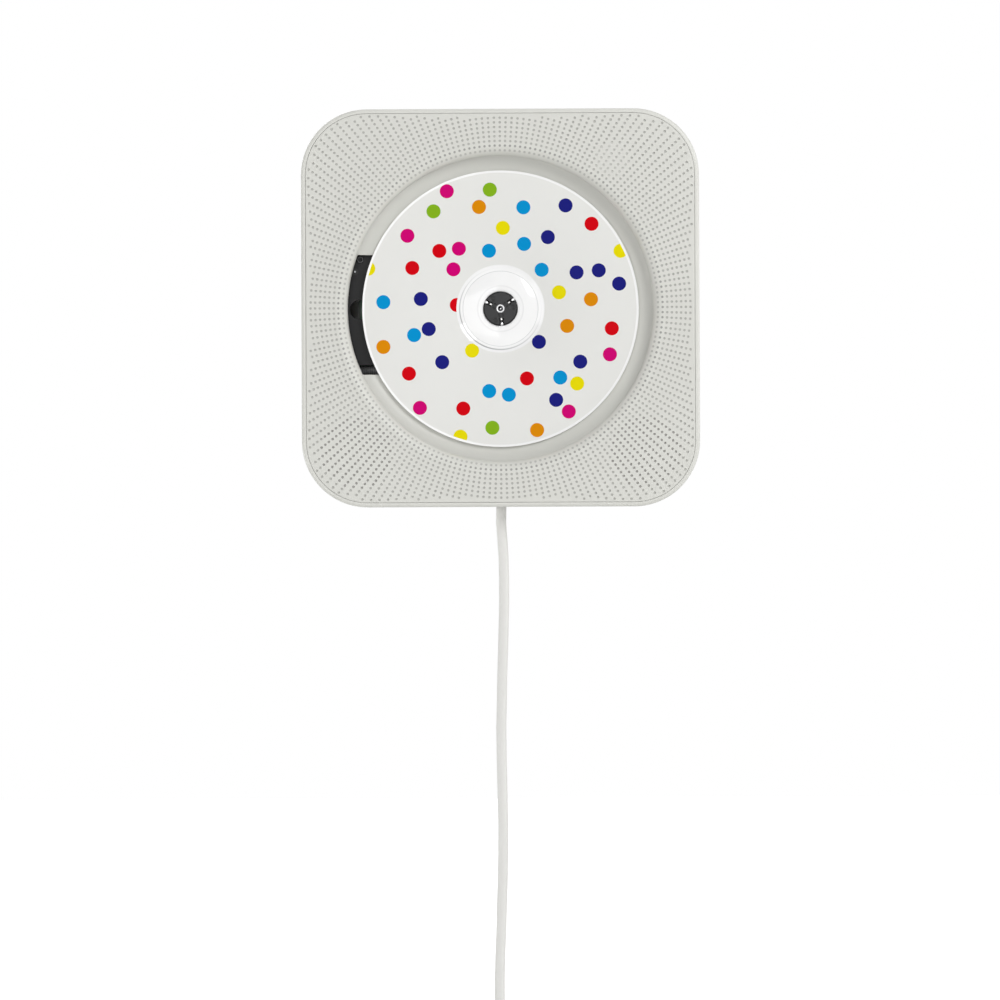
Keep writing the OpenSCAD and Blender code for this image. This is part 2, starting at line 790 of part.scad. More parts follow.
module clamp_hub() color("dimgray") stand() {
    difference() {
        translate([0, 0, disc_z]) rotate_extrude() polygon([[0, 0], [hub_r, 0],
            [hub_r, hub_h - 0.6], [hub_r - 0.6, hub_h], [0, hub_h]]);
        translate([0, 0, disc_z - past]) cylinder(h = hub_h + 2 * past, d = spindle_d);
        for (a = ball_angles) rotate(a) {
            translate([spring_post_r, -ball_slot_w / 2, ball_z - ball_d / 2 - 0.05])
                cube([hub_r, ball_slot_w, hub_h]);
            for (side = [-1, 1]) translate([spindle_d / 2 + 0.3,
                    side * groove_off - groove_w / 2, disc_z + hub_h - 0.8])
                cube([groove_l, groove_w, 1]);
            rotate(mark_turn) translate([mark_at, 0, disc_z + hub_h - 0.15])
                cylinder(h = 1, r = mark_r);
        }
    }
}

module detent_ball(a) color("silver") stand() {
    rotate(a) translate([ball_c, 0, ball_z]) sphere(d = ball_d);
}

module detent_ball_a() detent_ball(ball_angles[0]);
module detent_ball_b() detent_ball(ball_angles[1]);
module detent_ball_c() detent_ball(ball_angles[2]);

// Stubby springs behind the balls, with room for the balls' travel
module ball_springs() color("silver") stand() {
    for (a = ball_angles) rotate(a) translate([spring_post_r, 0, ball_z]) rotate([0, 90, 0])
        difference() {
            cylinder(h = 0.9, r = 0.75);
            translate([0, 0, -past]) cylinder(h = 0.9 + 2 * past, r = 0.4);
        }
}

module disc() color("gainsboro") stand() {
    difference() {
        union() {
            translate([0, 0, disc_z]) cylinder(h = disc_t, d = disc_d);
            translate([0, 0, disc_z - 0.2]) difference() {
                cylinder(h = 0.4, r = 17.5);
                translate([0, 0, -past]) cylinder(h = 3, r = 17);
            }
        }
        translate([0, 0, disc_z - past]) cylinder(h = disc_t + 2 * past, d = disc_bore_d);
    }
}

module guide_rods() color("silver") stand() {
    for (y = rod_ys) translate([deck_left, y, rod_z]) rotate([0, 90, 0])
        cylinder(h = deck_right - deck_left, d = rod_d);
}

module sled_motor() color("silver") stand() {
    translate([sled_motor_x, feed_y, rod_z]) rotate([0, 90, 0]) difference() {
        cylinder(h = sled_motor_l, d = sled_motor_d);
        translate([0, 0, -past]) cylinder(h = sled_motor_l - 1 + past, r = journal_r + running);
    }
}

module feed_screw() color("gray") stand() {
    translate([0, feed_y, rod_z]) rotate([0, 90, 0]) {
        translate([0, 0, feed_left]) cylinder(h = feed_right - feed_left, d = feed_d);
        translate([0, 0, deck_left + 0.2])
            cylinder(h = sled_motor_x + sled_motor_l - 1.5 - deck_left, r = journal_r);
    }
}

module pickup_sled() color("dimgray") stand() {
    mid = (sled_left + sled_right) / 2;
    difference() {
        union() {
            difference() {
                translate([sled_left, sled_ys[0], sled_top - sled_h])
                    cube([sled_l, sled_ys[1] - sled_ys[0], sled_h]);
                translate([sled_left + sled_wall, sled_ys[0] + sled_wall, sled_top - sled_h - past])
                    cube([sled_l - 2 * sled_wall, sled_ys[1] - sled_ys[0] - 2 * sled_wall,
                        sled_h - 2 + past]);
            }
            // Long bearing on the upper rod
            translate([sled_left, rod_ys[0], rod_z]) rotate([0, 90, 0])
                cylinder(h = sled_l, r = sleeve_r);
            translate([sled_left, sled_ys[1] - overlap, rod_z - 1.2])
                cube([sled_l, rod_ys[0] - sled_ys[1], 2.4]);
            // Arm with a bearing on the lower rod and the nut on the feed screw
            translate([mid - 4, feed_y - feed_d / 2 - 1, rod_z - 2.7])
                cube([8, sled_ys[0] + overlap - feed_y + feed_d / 2 + 1, 5.4]);
        }
        for (y = rod_ys) translate([sled_left - past, y, rod_z]) rotate([0, 90, 0])
            cylinder(h = sled_l + 2 * past, r = rod_d / 2 + running);
        translate([sled_left - past, feed_y, rod_z]) rotate([0, 90, 0])
            cylinder(h = sled_l + 2 * past, r = feed_d / 2 + 0.1);
        translate([-lens_start, 0, sled_top - 3]) cylinder(h = 4, r = holder_r + 0.3);
    }
}

module lens_holder() color("black") stand() {
    translate([-lens_start, 0, deck_z + 1.2 - holder_h]) difference() {
        cylinder(h = holder_h, r = holder_r);
        translate([0, 0, holder_h - 0.8]) cylinder(h = 1, r = lens_r);
        translate([0, 0, -past]) cylinder(h = holder_h + past, r = lens_r - 0.6);
    }
}

module objective_lens() color("lightblue") stand() {
    translate([-lens_start, 0, deck_z + 0.4]) intersection() {
        cylinder(h = 1.4, r = lens_r);
        translate([0, 0, 1.4 - 3.4]) sphere(r = 3.4);
    }
}

/* Circuit boards and what they carry */

module board(xs, ys) {
    difference() {
        translate([xs[0], ys[0], board_z]) cube([xs[1] - xs[0], ys[1] - ys[0], board_t]);
        for (p = board_posts) translate([p[0], p[1], board_z - past])
            cylinder(h = board_t + 2 * past, r = screw_r + 0.2);
    }
}

module main_board() color("darkgreen") stand() board(main_board_x, main_board_y);
module power_board() color("darkgreen") stand() board(power_board_x, power_board_y);

// Things on a board's front, each [x, y, width, height, depth]
main_blocks = [[-44, 2, 14, 14, 2], [-12, -16, 10, 10, 2], [-44, -20, 10, 6, 2.4],
    [2, 40, 8, 16, low_room - 2.4], [-20, 52, 18, 6, 6], [14, 30, 6, 8, 2]];
main_cans = [[-50, 42, 4, 11], [-39, 42, 4, 11], [-8, 44, 3, 8]];
power_blocks = [[56, -8, 26, 22, tall_room - 3.3], [44, 18, 10, 8, 9], [70, 14, 8, 12, 8]];
power_cans = [[62, -27, 5, tall_room - 4.3], [46, -27, 4, tall_room - 6.3]];

module board_parts(blocks, cans) {
    for (b = blocks) translate([b[0] - b[2] / 2, b[1] - b[3] / 2, board_top])
        cube([b[2], b[3], b[4]]);
    for (c = cans) translate([c[0], c[1], board_top]) cylinder(h = c[3], r = c[2]);
}

module main_board_parts() color("black") stand() board_parts(main_blocks, main_cans);
module power_board_parts() color("goldenrod") stand() board_parts(power_blocks, power_cans);

module board_screws() color("silver") stand() {
    for (p = board_posts) translate([p[0], p[1], board_top + screw_head_t])
        mirror([0, 0, 1]) screw(screw_head_r - 0.4, screw_head_t, screw_r, board_t + 2.8);
}

module sensor_board() color("darkgreen") stand() {
    w = 2 * sensor_post_x + 4;
    translate([sensor_x - w / 2, sensor_y - 5, sensor_board_z - board_t]) cube([w, 10, board_t]);
}

module remote_sensor() color("black") stand() {
    translate([sensor_x - 3, sensor_y - 3, sensor_board_z]) cube([6, 6, 3.6]);
    translate([sensor_x, sensor_y, sensor_board_z + 3]) cylinder(h = 2.6, r = 2.4);
}

/* Speakers */

module speaker_frames() color("dimgray") stand() {
    edge = speaker_r - flange_w;
    at_speakers() translate([0, 0, flange_z]) rotate_extrude() polygon([
        [magnet_r - 6, -basket_h], [magnet_r, -basket_h], [edge, 0], [speaker_r, 0],
        [speaker_r, 1], [edge, 1], [edge, 0.4], [edge - 0.9, 0.4], [edge - 0.9, 0],
        [magnet_r - 0.6, 0.8 - basket_h], [magnet_r - 6, 0.8 - basket_h]]);
}

module speaker_cones() color("black") stand() {
    edge = speaker_r - flange_w;
    at_speakers() translate([0, 0, flange_z]) rotate_extrude() {
        polygon([[edge, 1], [edge - 1.6, 1], [4.6, -5.2], [0, -3.6], [0, -4.4], [4.6, -6],
            [edge - 1.3, 0.4], [edge, 0.4]]);
    }
}

module speaker_magnets() color("gray") stand() {
    at_speakers() translate([0, 0, flange_z - basket_h - magnet_t])
        cylinder(h = magnet_t, r = magnet_r);
}

// Round of cloth behind the open holes, glued to the panel's back inside the gasket
module speaker_cloths() color("gray") stand() {
    at_speakers() translate([0, 0, panel_z - cloth_t])
        cylinder(h = cloth_t, r = speaker_r - flange_w - running);
}

module speaker_gaskets() color("black") stand() {
    at_speakers() translate([0, 0, panel_z - gasket_t]) difference() {
        cylinder(h = gasket_t, r = speaker_r);
        translate([0, 0, -past]) cylinder(h = gasket_t + 2 * past, r = speaker_r - flange_w);
    }
}

/* Controls on the top */

// A button with its flange under the wall, its stem and a shallow dish on top
module button(x) color("whitesmoke") stand() {
    translate([x, 0, controls_z]) difference() {
        union() {
            slab(button_under, half + button_proud) capsule(button_w, button_t);
            slab(button_under, button_under + button_flange_t)
                capsule(button_w + 2 * button_flange, button_t + 2 * button_flange);
            upright(button_under - 0.8, button_under + overlap, 1.6, 1.6);
        }
        translate([0, half + button_proud + 19.7, 0]) sphere(r = 20);
    }
}

module button_skip_back() button(-button_xs[2]);
module button_play_stop() button(-button_xs[1]);
module button_skip_forward() button(-button_xs[0]);
module button_mode() button(button_xs[0]);
module button_volume_down() button(button_xs[1]);
module button_volume_up() button(button_xs[2]);

module button_board() color("darkgreen") stand() {
    translate([0, 0, controls_z]) difference() {
        slab(controls_board_y - board_t, controls_board_y)
            square([controls_board_w, controls_board_t], center = true);
        for (x = [-1, 1]) translate([x * board_post_x, 0, 0])
            upright(controls_board_y - board_t - past, controls_board_y + past, 1.2, 1.2);
    }
}

switch_w = 6;

module tact_switches() color("black") stand() {
    for (s = [-1, 1], x = button_xs) translate([s * x, 0, controls_z])
        slab(controls_board_y, switch_top) square(switch_w, center = true);
}

display_flange_t = 0.8;

module display_module() color("dimgray") stand() {
    translate([0, 0, controls_z]) slab(controls_board_y, inner - display_flange_t)
        square([display_w + 2, display_t + 2], center = true);
}

module display_window() color("gray") stand() {
    translate([0, 0, controls_z]) {
        slab(inner - overlap, half - 0.05) square([display_w, display_t], center = true);
        slab(inner - display_flange_t, inner) square([display_w + 2, display_t + 2], center = true);
    }
}

/* Pull switch */

guide_side = slider_w / 2 + clear;

module switch_frame() color("white") stand() {
    wide = 2 * (guide_side + guide_wall);
    difference() {
        union() {
            translate([-wide / 2, guide_bottom - guide_wall, guide_back - guide_wall])
                cube([wide, guide_top - guide_bottom + 2 * guide_wall, guide_wall]);
            for (x = [-1, 1]) translate([x * (guide_side + guide_wall / 2) - guide_wall / 2,
                    guide_bottom - guide_wall, guide_back - overlap])
                cube([guide_wall, guide_top - guide_bottom + 2 * guide_wall,
                    slider_front - guide_back + overlap]);
            for (y = [guide_bottom - guide_wall, guide_top])
                translate([-guide_side - overlap, y, guide_back - overlap])
                    cube([2 * (guide_side + overlap), guide_wall,
                        slider_front - guide_back + overlap]);
        }
        // Notch that the cord's anchor passes through
        translate([0, 0, cord_z]) upright(guide_bottom - guide_wall - past,
            guide_bottom + past, anchor_tip_r + 0.9, anchor_tip_r + 0.9);
        translate([-anchor_tip_r - 0.9, guide_bottom - guide_wall - past, cord_z])
            cube([2 * anchor_tip_r + 1.8, guide_wall + 2 * past, 10]);
        // Window for the microswitch's plunger
        translate([guide_side - past, slider_top - 11, cord_z - 2])
            cube([guide_wall + 2 * past, 4, 4]);
    }
}

module cord_slider() color("white") stand() {
    difference() {
        translate([-slider_w / 2, slider_top - slider_l, slider_back])
            cube([slider_w, slider_l, slider_front - slider_back]);
        translate([0, 0, cord_z]) {
            upright(anchor_top - anchor_head_l, anchor_top, anchor_head_r, anchor_head_r);
            upright(slider_top - slider_l - past, anchor_top, anchor_r + 0.1, anchor_r + 0.1);
        }
    }
}

module cord_anchor() color("lightgray") stand() {
    translate([0, 0, cord_z]) {
        upright(anchor_top - anchor_head_l, anchor_top, anchor_head_r, anchor_head_r);
        upright(anchor_tip, anchor_top - anchor_head_l + overlap, anchor_tip_r, anchor_r);
    }
}

pull_spring_turns = 8;
pull_spring_r = 2.6;

module pull_spring() color("silver") stand() {
    wire = 0.8;
    low = slider_top + wire / 2 + 0.05;
    high = guide_top - wire / 2 - 0.05;
    translate([0, 0, cord_z]) rotate([-90, 0, 0]) tube([for (k = [0:pull_spring_turns * 8])
        [pull_spring_r * cos(45 * k), pull_spring_r * sin(45 * k),
            low + (high - low) * k / (pull_spring_turns * 8)]], wire / 2, 6);
}

module pull_microswitch() color("black") stand() {
    outside = guide_side + guide_wall;
    translate([outside, slider_top - 15.5, cord_z - 3.2]) cube([6.4, 13, 6.4]);
    translate([slider_w / 2 + clear, slider_top - 9, cord_z]) rotate([0, 90, 0])
        cylinder(h = guide_wall + overlap, r = 0.9);
}

module cord_bush() color("lightgray") stand() {
    translate([0, 0, cord_z]) difference() {
        union() {
            upright(-half, -inner, bush_r, bush_r);
            upright(-inner, -inner + bush_flange_t, bush_flange_r, bush_flange_r);
        }
        upright(-half - past, -inner + bush_flange_t + past, bush_bore, bush_bore);
    }
}

/* Cord, coil and plug */

module cord_lead() color("lightgray") stand() tube(lead_path, cord_d / 2, lead_sides);
module cord_coil() color("lightgray") stand() tube(coil_path, cord_d / 2, coil_sides);

// A band round all the turns at the top of the coil
module coil_tie() color("dimgray") stand() {
    r_low = coil_r - cord_d / 2 - 0.3;
    r_high = coil_out + cord_d / 2;
    deep = (coil_layers - 1) * layer_pitch + cord_d + 0.6;
    translate([coil_x, coil_y + (r_low + r_high) / 2, (cord_z + coil_z_end) / 2])
        rotate([0, 90, 0]) linear_extrude(tie_w, center = true) difference() {
            round_rect(deep + 2 * tie_t, r_high - r_low + 2 * tie_t, 2 + tie_t);
            round_rect(deep, r_high - r_low, 2);
        }
}

plug_relief_l = 22;
plug_body_l = 28;
plug_top = -lead_end - coil_tail;

module plug() color("gainsboro") stand() {
    translate([0, plug_top, coil_z_end]) {
        upright(-plug_relief_l, 0, cord_d / 2 + 2.2, cord_d / 2 + 0.5);
        translate([0, -plug_relief_l, 0]) intersection() {
            slab(-plug_body_l, 0) round_rect(plug_w, plug_t, 4);
            linear_extrude(plug_t + past, center = true) polygon([[-plug_w / 4, 0],
                [-plug_w / 2, -9], [-plug_w / 2, -plug_body_l - past],
                [plug_w / 2, -plug_body_l - past], [plug_w / 2, -9], [plug_w / 4, 0]]);
        }
    }
}

blade_w = 6.3;
blade_t = 1.5;
blade_l = 17;
blade_gap = 12.7;

module plug_blades() color("silver") stand() {
    bottom = plug_top - plug_relief_l - plug_body_l;
    for (x = [-1, 1]) translate([x * blade_gap / 2, 0, coil_z_end])
        slab(bottom - blade_l, bottom) square([blade_t, blade_w], center = true);
}

wall_bracket();
wall_pads();
rear_cover();
cover_screws();
side_frame();
front_grille();
disc_well();
well_screws();
mech_deck();
deck_grommets();
deck_screws();
spindle_motor();
spindle_shaft();
platter();
clamp_hub();
detent_ball_a();
detent_ball_b();
detent_ball_c();
ball_springs();
disc();
guide_rods();
sled_motor();
feed_screw();
pickup_sled();
lens_holder();
objective_lens();
main_board();
main_board_parts();
power_board();
power_board_parts();
board_screws();
sensor_board();
remote_sensor();
speaker_frames();
speaker_cones();
speaker_magnets();
speaker_gaskets();
speaker_cloths();
button_skip_back();
button_play_stop();
button_skip_forward();
button_mode();
button_volume_down();
button_volume_up();
button_board();
tact_switches();
display_module();
display_window();
switch_frame();
cord_slider();
cord_anchor();
pull_spring();
pull_microswitch();
cord_bush();
cord_lead();
cord_coil();
coil_tie();
plug();
plug_blades();
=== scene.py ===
"""Looks of a wall mounted disc player: perforated front, open well with the disc, pull cord.

Shapes are worked out in millimetres as the part's source draws them, lying on the back:
x to the right, y up the wall, z out of the wall. upright() stands them up in metres, so that
the wall is the plane Y = 0 and the front faces -Y. Finishes read the place on the object in
millimetres too, where the disc's axis is x = z = 0 and the front's face is y = -BODY_D.
"""

import json
import math

import bmesh
import bpy
import numpy as np
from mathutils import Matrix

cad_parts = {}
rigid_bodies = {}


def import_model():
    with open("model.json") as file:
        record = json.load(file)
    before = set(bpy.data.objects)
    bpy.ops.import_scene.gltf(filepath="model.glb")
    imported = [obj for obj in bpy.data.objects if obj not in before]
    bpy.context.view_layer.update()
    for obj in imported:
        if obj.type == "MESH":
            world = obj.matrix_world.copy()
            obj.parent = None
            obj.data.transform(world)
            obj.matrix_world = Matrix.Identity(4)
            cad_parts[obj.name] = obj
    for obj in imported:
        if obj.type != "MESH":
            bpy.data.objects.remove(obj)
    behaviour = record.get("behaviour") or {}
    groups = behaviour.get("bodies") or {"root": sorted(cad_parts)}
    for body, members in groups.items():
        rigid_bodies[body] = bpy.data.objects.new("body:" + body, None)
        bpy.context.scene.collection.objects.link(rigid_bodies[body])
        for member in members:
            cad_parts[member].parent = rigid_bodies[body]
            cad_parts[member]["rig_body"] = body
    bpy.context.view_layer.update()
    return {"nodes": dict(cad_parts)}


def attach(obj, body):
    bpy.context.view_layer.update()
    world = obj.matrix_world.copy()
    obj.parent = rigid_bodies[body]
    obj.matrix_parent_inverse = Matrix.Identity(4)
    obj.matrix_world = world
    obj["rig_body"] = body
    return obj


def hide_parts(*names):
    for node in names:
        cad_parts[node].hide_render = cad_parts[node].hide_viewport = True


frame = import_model()
nodes = frame["nodes"]

MM = 0.001

# Sizes of the body, the same as the source's
BODY_W, BODY_D, CORNER_R, FRAME_WALL, RIM_R = 172.0, 41.0, 28.5, 1.9, 1.4
BACK_Z, COVER_Z = 1.5, 4.0
PANEL_T, PANEL_GAP, PANEL_EDGE_R = 2.4, 0.06, 0.3
HALF = BODY_W / 2
INNER = HALF - FRAME_WALL
INNER_R = CORNER_R - FRAME_WALL
PANEL_Z = BODY_D - PANEL_T
PANEL_W = 2 * (INNER - PANEL_GAP)
PANEL_R = INNER_R - PANEL_GAP
LEDGE_W, LEDGE_T = 1.0, 1.6

# The well and its lip
WELL_DEPTH, LIP_R, COVE_R, WELL_WALL, DISC_MARGIN = 11.1, 4.8, 8.0, 2.0, 6.3
CREASE_Z = BODY_D - LIP_R
FLOOR_Z = BODY_D - WELL_DEPTH
COVE_C = 60.0
WELL_R = COVE_C + DISC_MARGIN
LIP_C = WELL_R + LIP_R
WINDOW_TOP, WINDOW_BOTTOM, WINDOW_RIGHT = 23.6, -28.4, 22.0

# The rings of holes
HOLE_LINES, HOLE_PITCH, HOLE_D, HOLE_RINGS = 200, 2.0, 1.1, 18
FIRST_RING = LIP_C + 0.9
DIMPLE_DEPTH, DIMPLE_FLOOR_R = 0.4, HOLE_D * 0.49
# Least distance from a hole's centre to the edge, and how much more along a side's middle
HOLE_MARGIN, MIDDLE_MARGIN, MIDDLE_HALF = 1.1, 0.45, 30
# The last cell on a line may be this much shorter than the pitch
SHORT_CELL = 0.38
SPEAKER = (62.5, -62.5, 15.6)
SENSOR = (48.5, 63.8, 7.6)
SENSOR_POST = SENSOR[2] + HOLE_D / 2 + 2
BOSS_AT_R = 76.5

# Disc and hub
DISC_Z, DISC_T, DISC_R, BORE_R = 30.8, 1.2, 60.0, 7.5

# Top edge and cord
CONTROLS_Z = 21.0
BUTTON_W, BUTTON_T = 9.0, 5.5
BUTTON_X = {
    "skip_back": -46, "play_stop": -34, "skip_forward": -22,
    "mode": 22, "volume_down": 34, "volume_up": 46,
}
DISPLAY_W, DISPLAY_T = 24.0, 9.0
CORD_D, CORD_Z, BUSH_HOLE_R = 4.4, 22.0, 5.0


# Shader maths


class Value:
    """A shader socket, whose operators add Math nodes to its tree."""

    def __init__(self, tree, socket):
        self.tree, self.socket = tree, socket

    def _math(self, operation, *values):
        node = self.tree.nodes.new("ShaderNodeMath")
        node.operation = operation
        for k, v in enumerate(values):
            if isinstance(v, Value):
                self.tree.links.new(v.socket, node.inputs[k])
            else:
                node.inputs[k].default_value = v
        return Value(self.tree, node.outputs[0])

    def __add__(self, other):
        return self._math("ADD", self, other)

    __radd__ = __add__

    def __sub__(self, other):
        return self._math("SUBTRACT", self, other)

    def __rsub__(self, other):
        return self._math("SUBTRACT", other, self)

    def __mul__(self, other):
        return self._math("MULTIPLY", self, other)

    __rmul__ = __mul__

    def __truediv__(self, other):
        return self._math("DIVIDE", self, other)

    def __pow__(self, other):
        return self._math("POWER", self, other)

    def __lt__(self, other):
        return self._math("LESS_THAN", self, other)

    def __gt__(self, other):
        return self._math("GREATER_THAN", self, other)

    def __abs__(self):
        return self._math("ABSOLUTE", self)

    def over(self, other):
        """Angle of the point (other, self), in radians."""
        return self._math("ARCTAN2", self, other)

    def nearest(self):
        """Signed distance to the nearest whole number."""
        return self - self._math("ROUND", self)

    def wave(self):
        return self._math("SINE", self)

    def root(self):
        return self._math("SQRT", self)

    def between(self, low, high):
        return (self > low) * (self < high)

    def step(self, low, high):
        """Rises smoothly from 0 at low to 1 at high."""
        node = self.tree.nodes.new("ShaderNodeMapRange")
        node.interpolation_type = "SMOOTHSTEP"
        self.tree.links.new(self.socket, node.inputs["Value"])
        node.inputs["From Min"].default_value = low
        node.inputs["From Max"].default_value = high
        return Value(self.tree, node.outputs[0])


class Finish:
    """A material with one Principled shader, and helpers that add nodes to it."""

    def __init__(self, name, colour, roughness, **sockets):
        self.material = bpy.data.materials.new(name)
        self.material.use_nodes = True
        self.tree = self.material.node_tree
        self.tree.nodes.clear()
        self.shader = self.tree.nodes.new("ShaderNodeBsdfPrincipled")
        output = self.tree.nodes.new("ShaderNodeOutputMaterial")
        self.tree.links.new(self.shader.outputs[0], output.inputs["Surface"])
        self.set(base_color=colour, roughness=roughness, **sockets)

    def put(self, socket, value):
        if isinstance(value, Value):
            self.tree.links.new(value.socket, socket)
        elif hasattr(value, "__len__") and len(value) == 3 and socket.type == "RGBA":
            socket.default_value = (*value, 1.0)
        else:
            socket.default_value = value

    def set(self, **sockets):
        for name, value in sockets.items():
            label = name.replace("_", " ").title().replace("Ior", "IOR")
            self.put(self.shader.inputs[label], value)
        return self

    def node(self, kind, settings=None, sockets=None, output=0):
        """Any other node: its settings first, then the values or links of its sockets."""
        made = self.tree.nodes.new("ShaderNode" + kind)
        for name, value in (settings or {}).items():
            setattr(made, name, value)
        for name, value in (sockets or {}).items():
            self.put(made.inputs[name], value)
        return Value(self.tree, made.outputs[output])

    def place(self):
        """Where the point is on the object, in metres."""
        return self.node("TexCoord", output="Object")

    def axes(self, point=None):
        """The point's X, Y and Z in millimetres."""
        made = self.tree.nodes.new("ShaderNodeSeparateXYZ")
        self.put(made.inputs[0], point or self.place())
        return [Value(self.tree, made.outputs[k]) * 1000.0 for k in range(3)]

    def about_axis(self):
        """The point's X, Y and Z and its distance from the disc's axis, in millimetres."""
        x, y, z = self.axes()
        return x, y, z, (x ** 2.0 + z ** 2.0).root()

    def noise(self, per_mm, detail=2.0, stretch=(1, 1, 1)):
        scaled = self.node("Mapping", None, {"Vector": self.place(), "Scale": stretch})
        return self.node("TexNoise", None, {
            "Vector": scaled, "Scale": per_mm * 1000.0, "Detail": detail})

    def colour(self):
        """What the base colour is so far."""
        return Value(self.tree, self.shader.inputs["Base Color"].links[0].from_socket)

    def mix(self, mask, low, high, blend="MIX"):
        """low where mask is 0, high where it is 1, by the blend's own rule."""
        made = self.tree.nodes.new("ShaderNodeMix")
        made.data_type, made.blend_type = "RGBA", blend
        self.put(made.inputs["Factor"], mask)
        self.put(made.inputs[6], low)
        self.put(made.inputs[7], high)
        return Value(self.tree, made.outputs[2])

    def bump(self, height, depth_mm):
        """Height from 0 to 1 raises the surface by depth_mm."""
        self.put(self.shader.inputs["Normal"], self.node("Bump", None, {
            "Height": height, "Distance": depth_mm * MM}))
        return self


# Meshes


def upright(points):
    """Stands points up against the wall and turns millimetres into metres."""
    p = np.asarray(points, float)
    return np.stack([p[:, 0], -p[:, 2], p[:, 1]], 1) * MM


def linked(name, data):
    made = bpy.data.objects.new(name, data)
    bpy.context.scene.collection.objects.link(made)
    return made


def smooth(mesh, angle=30.0):
    """Smooth shading, with the edges that turn by more than an angle left sharp."""
    mesh.polygons.foreach_set("use_smooth", np.ones(len(mesh.polygons), bool))
    mesh.set_sharp_from_angle(angle=math.radians(angle))


def piece(name, points, faces, body, finish, slot, angle=30.0):
    """A closed mesh from points in millimetres, lying on its back, and faces as index lists."""
    mesh = bpy.data.meshes.new(name)
    mesh.from_pydata(upright(points).tolist(), [], faces)
    smooth(mesh, angle)
    made = linked(name, mesh)
    mesh.materials.append(finish.material)
    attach(made, body)
    return made


def built(name, build, *rest):
    """The piece that a Build has gathered."""
    return piece(name, np.concatenate(build.points), build.faces, *rest)


def grid_faces(rows, columns, close_rows=False, close_columns=False, flip=False):
    """Quads between the points of a grid stored row by row, joined end to end where closed."""
    r = np.arange(rows if close_rows else rows - 1)[:, None]
    c = np.arange(columns if close_columns else columns - 1)[None, :]
    r2, c2 = (r + 1) % rows, (c + 1) % columns
    quads = np.stack([r * columns + c, r * columns + c2, r2 * columns + c2, r2 * columns + c], -1)
    quads = quads.reshape(-1, 4)
    return (quads[:, ::-1] if flip else quads).tolist()


class Build:
    """Gathers several closed shells into one mesh."""

    def __init__(self):
        self.points, self.faces = [], []

    def add(self, points, faces):
        start = sum(len(p) for p in self.points)
        self.points.append(np.asarray(points, float))
        self.faces += [[i + start for i in face] for face in faces]
        return self

    def ring(self, profile, steps, centre=(0, 0)):
        """A closed profile of (radius, height) carried round an upright axis."""
        p = np.asarray(profile, float)
        a = np.linspace(0, 2 * math.pi, steps, endpoint=False)[:, None]
        points = np.stack([centre[0] + p[:, 0] * np.cos(a), centre[1] + p[:, 0] * np.sin(a),
                           p[:, 1] + 0 * a], -1).reshape(-1, 3)
        return self.add(points, grid_faces(steps, len(p), True, True))

    def rod(self, centre, low, high, radius, steps=32):
        """A solid cylinder along z."""
        a = np.linspace(0, 2 * math.pi, steps, endpoint=False)
        ends = [np.stack([centre[0] + radius * np.cos(a), centre[1] + radius * np.sin(a),
                          0 * a + z], 1) for z in (low, high)]
        faces = grid_faces(2, steps, False, True)
        faces += [list(range(steps))[::-1], list(range(steps, 2 * steps))]
        return self.add(np.concatenate(ends), faces)

    def prism(self, outline, low, high, axis="z"):
        """A flat outline, anticlockwise seen from +axis, made solid from low to high."""
        o = np.asarray(outline, float)
        n = len(o)
        if axis == "z":
            ends = [np.column_stack([o, np.full(n, z)]) for z in (low, high)]
        else:
            ends = [np.column_stack([o[:, 0], np.full(n, y), o[:, 1]]) for y in (high, low)]
        faces = grid_faces(2, n, False, True)
        faces += [list(range(n))[::-1], list(range(n, 2 * n))]
        return self.add(np.concatenate(ends), faces)


def arc(cx, cy, r, start, end, steps):
    """Points on a circle from one angle to another, in degrees."""
    a = np.radians(np.linspace(start, end, steps))
    return np.stack([cx + r * np.cos(a), cy + r * np.sin(a)], 1)


def capsule(cx, cy, w, h, steps=16):
    """Outline of a bar with round ends, anticlockwise."""
    c = (w - h) / 2
    return np.concatenate([arc(cx + c, cy, h / 2, -90, 90, steps),
                           arc(cx - c, cy, h / 2, 90, 270, steps)])


def round_rect(cx, cy, w, h, r, steps=8):
    """Outline of a rectangle with round corners, anticlockwise."""
    return np.concatenate([
        arc(cx + sx * (w / 2 - r), cy + sy * (h / 2 - r), r, a, a + 90, steps)
        for sx, sy, a in ((1, 1, 0), (-1, 1, 90), (-1, -1, 180), (1, -1, 270))])


def swept_square(section, w, r, corner_steps=28):
    """A closed section of (inward distance, height) carried round a rounded square.

    Each point keeps its distance from the outline: on a corner it lies on a circle about the
    corner's centre, whose radius is the corner's less the distance.
    """
    s = np.asarray(section, float)
    c = w / 2 - r
    a = np.radians(np.concatenate([q * 90 + np.linspace(0, 90, corner_steps) for q in range(4)]))
    sign = np.repeat(np.array([[1, 1], [-1, 1], [-1, -1], [1, -1]]) * c, corner_steps, 0)
    radius = (r - s[:, 0])[None, :]
    points = np.stack([sign[:, :1] + radius * np.cos(a)[:, None],
                       sign[:, 1:] + radius * np.sin(a)[:, None],
                       np.broadcast_to(s[:, 1], (len(a), len(s)))], -1)
    return points.reshape(-1, 3), grid_faces(len(a), len(s), True, True)


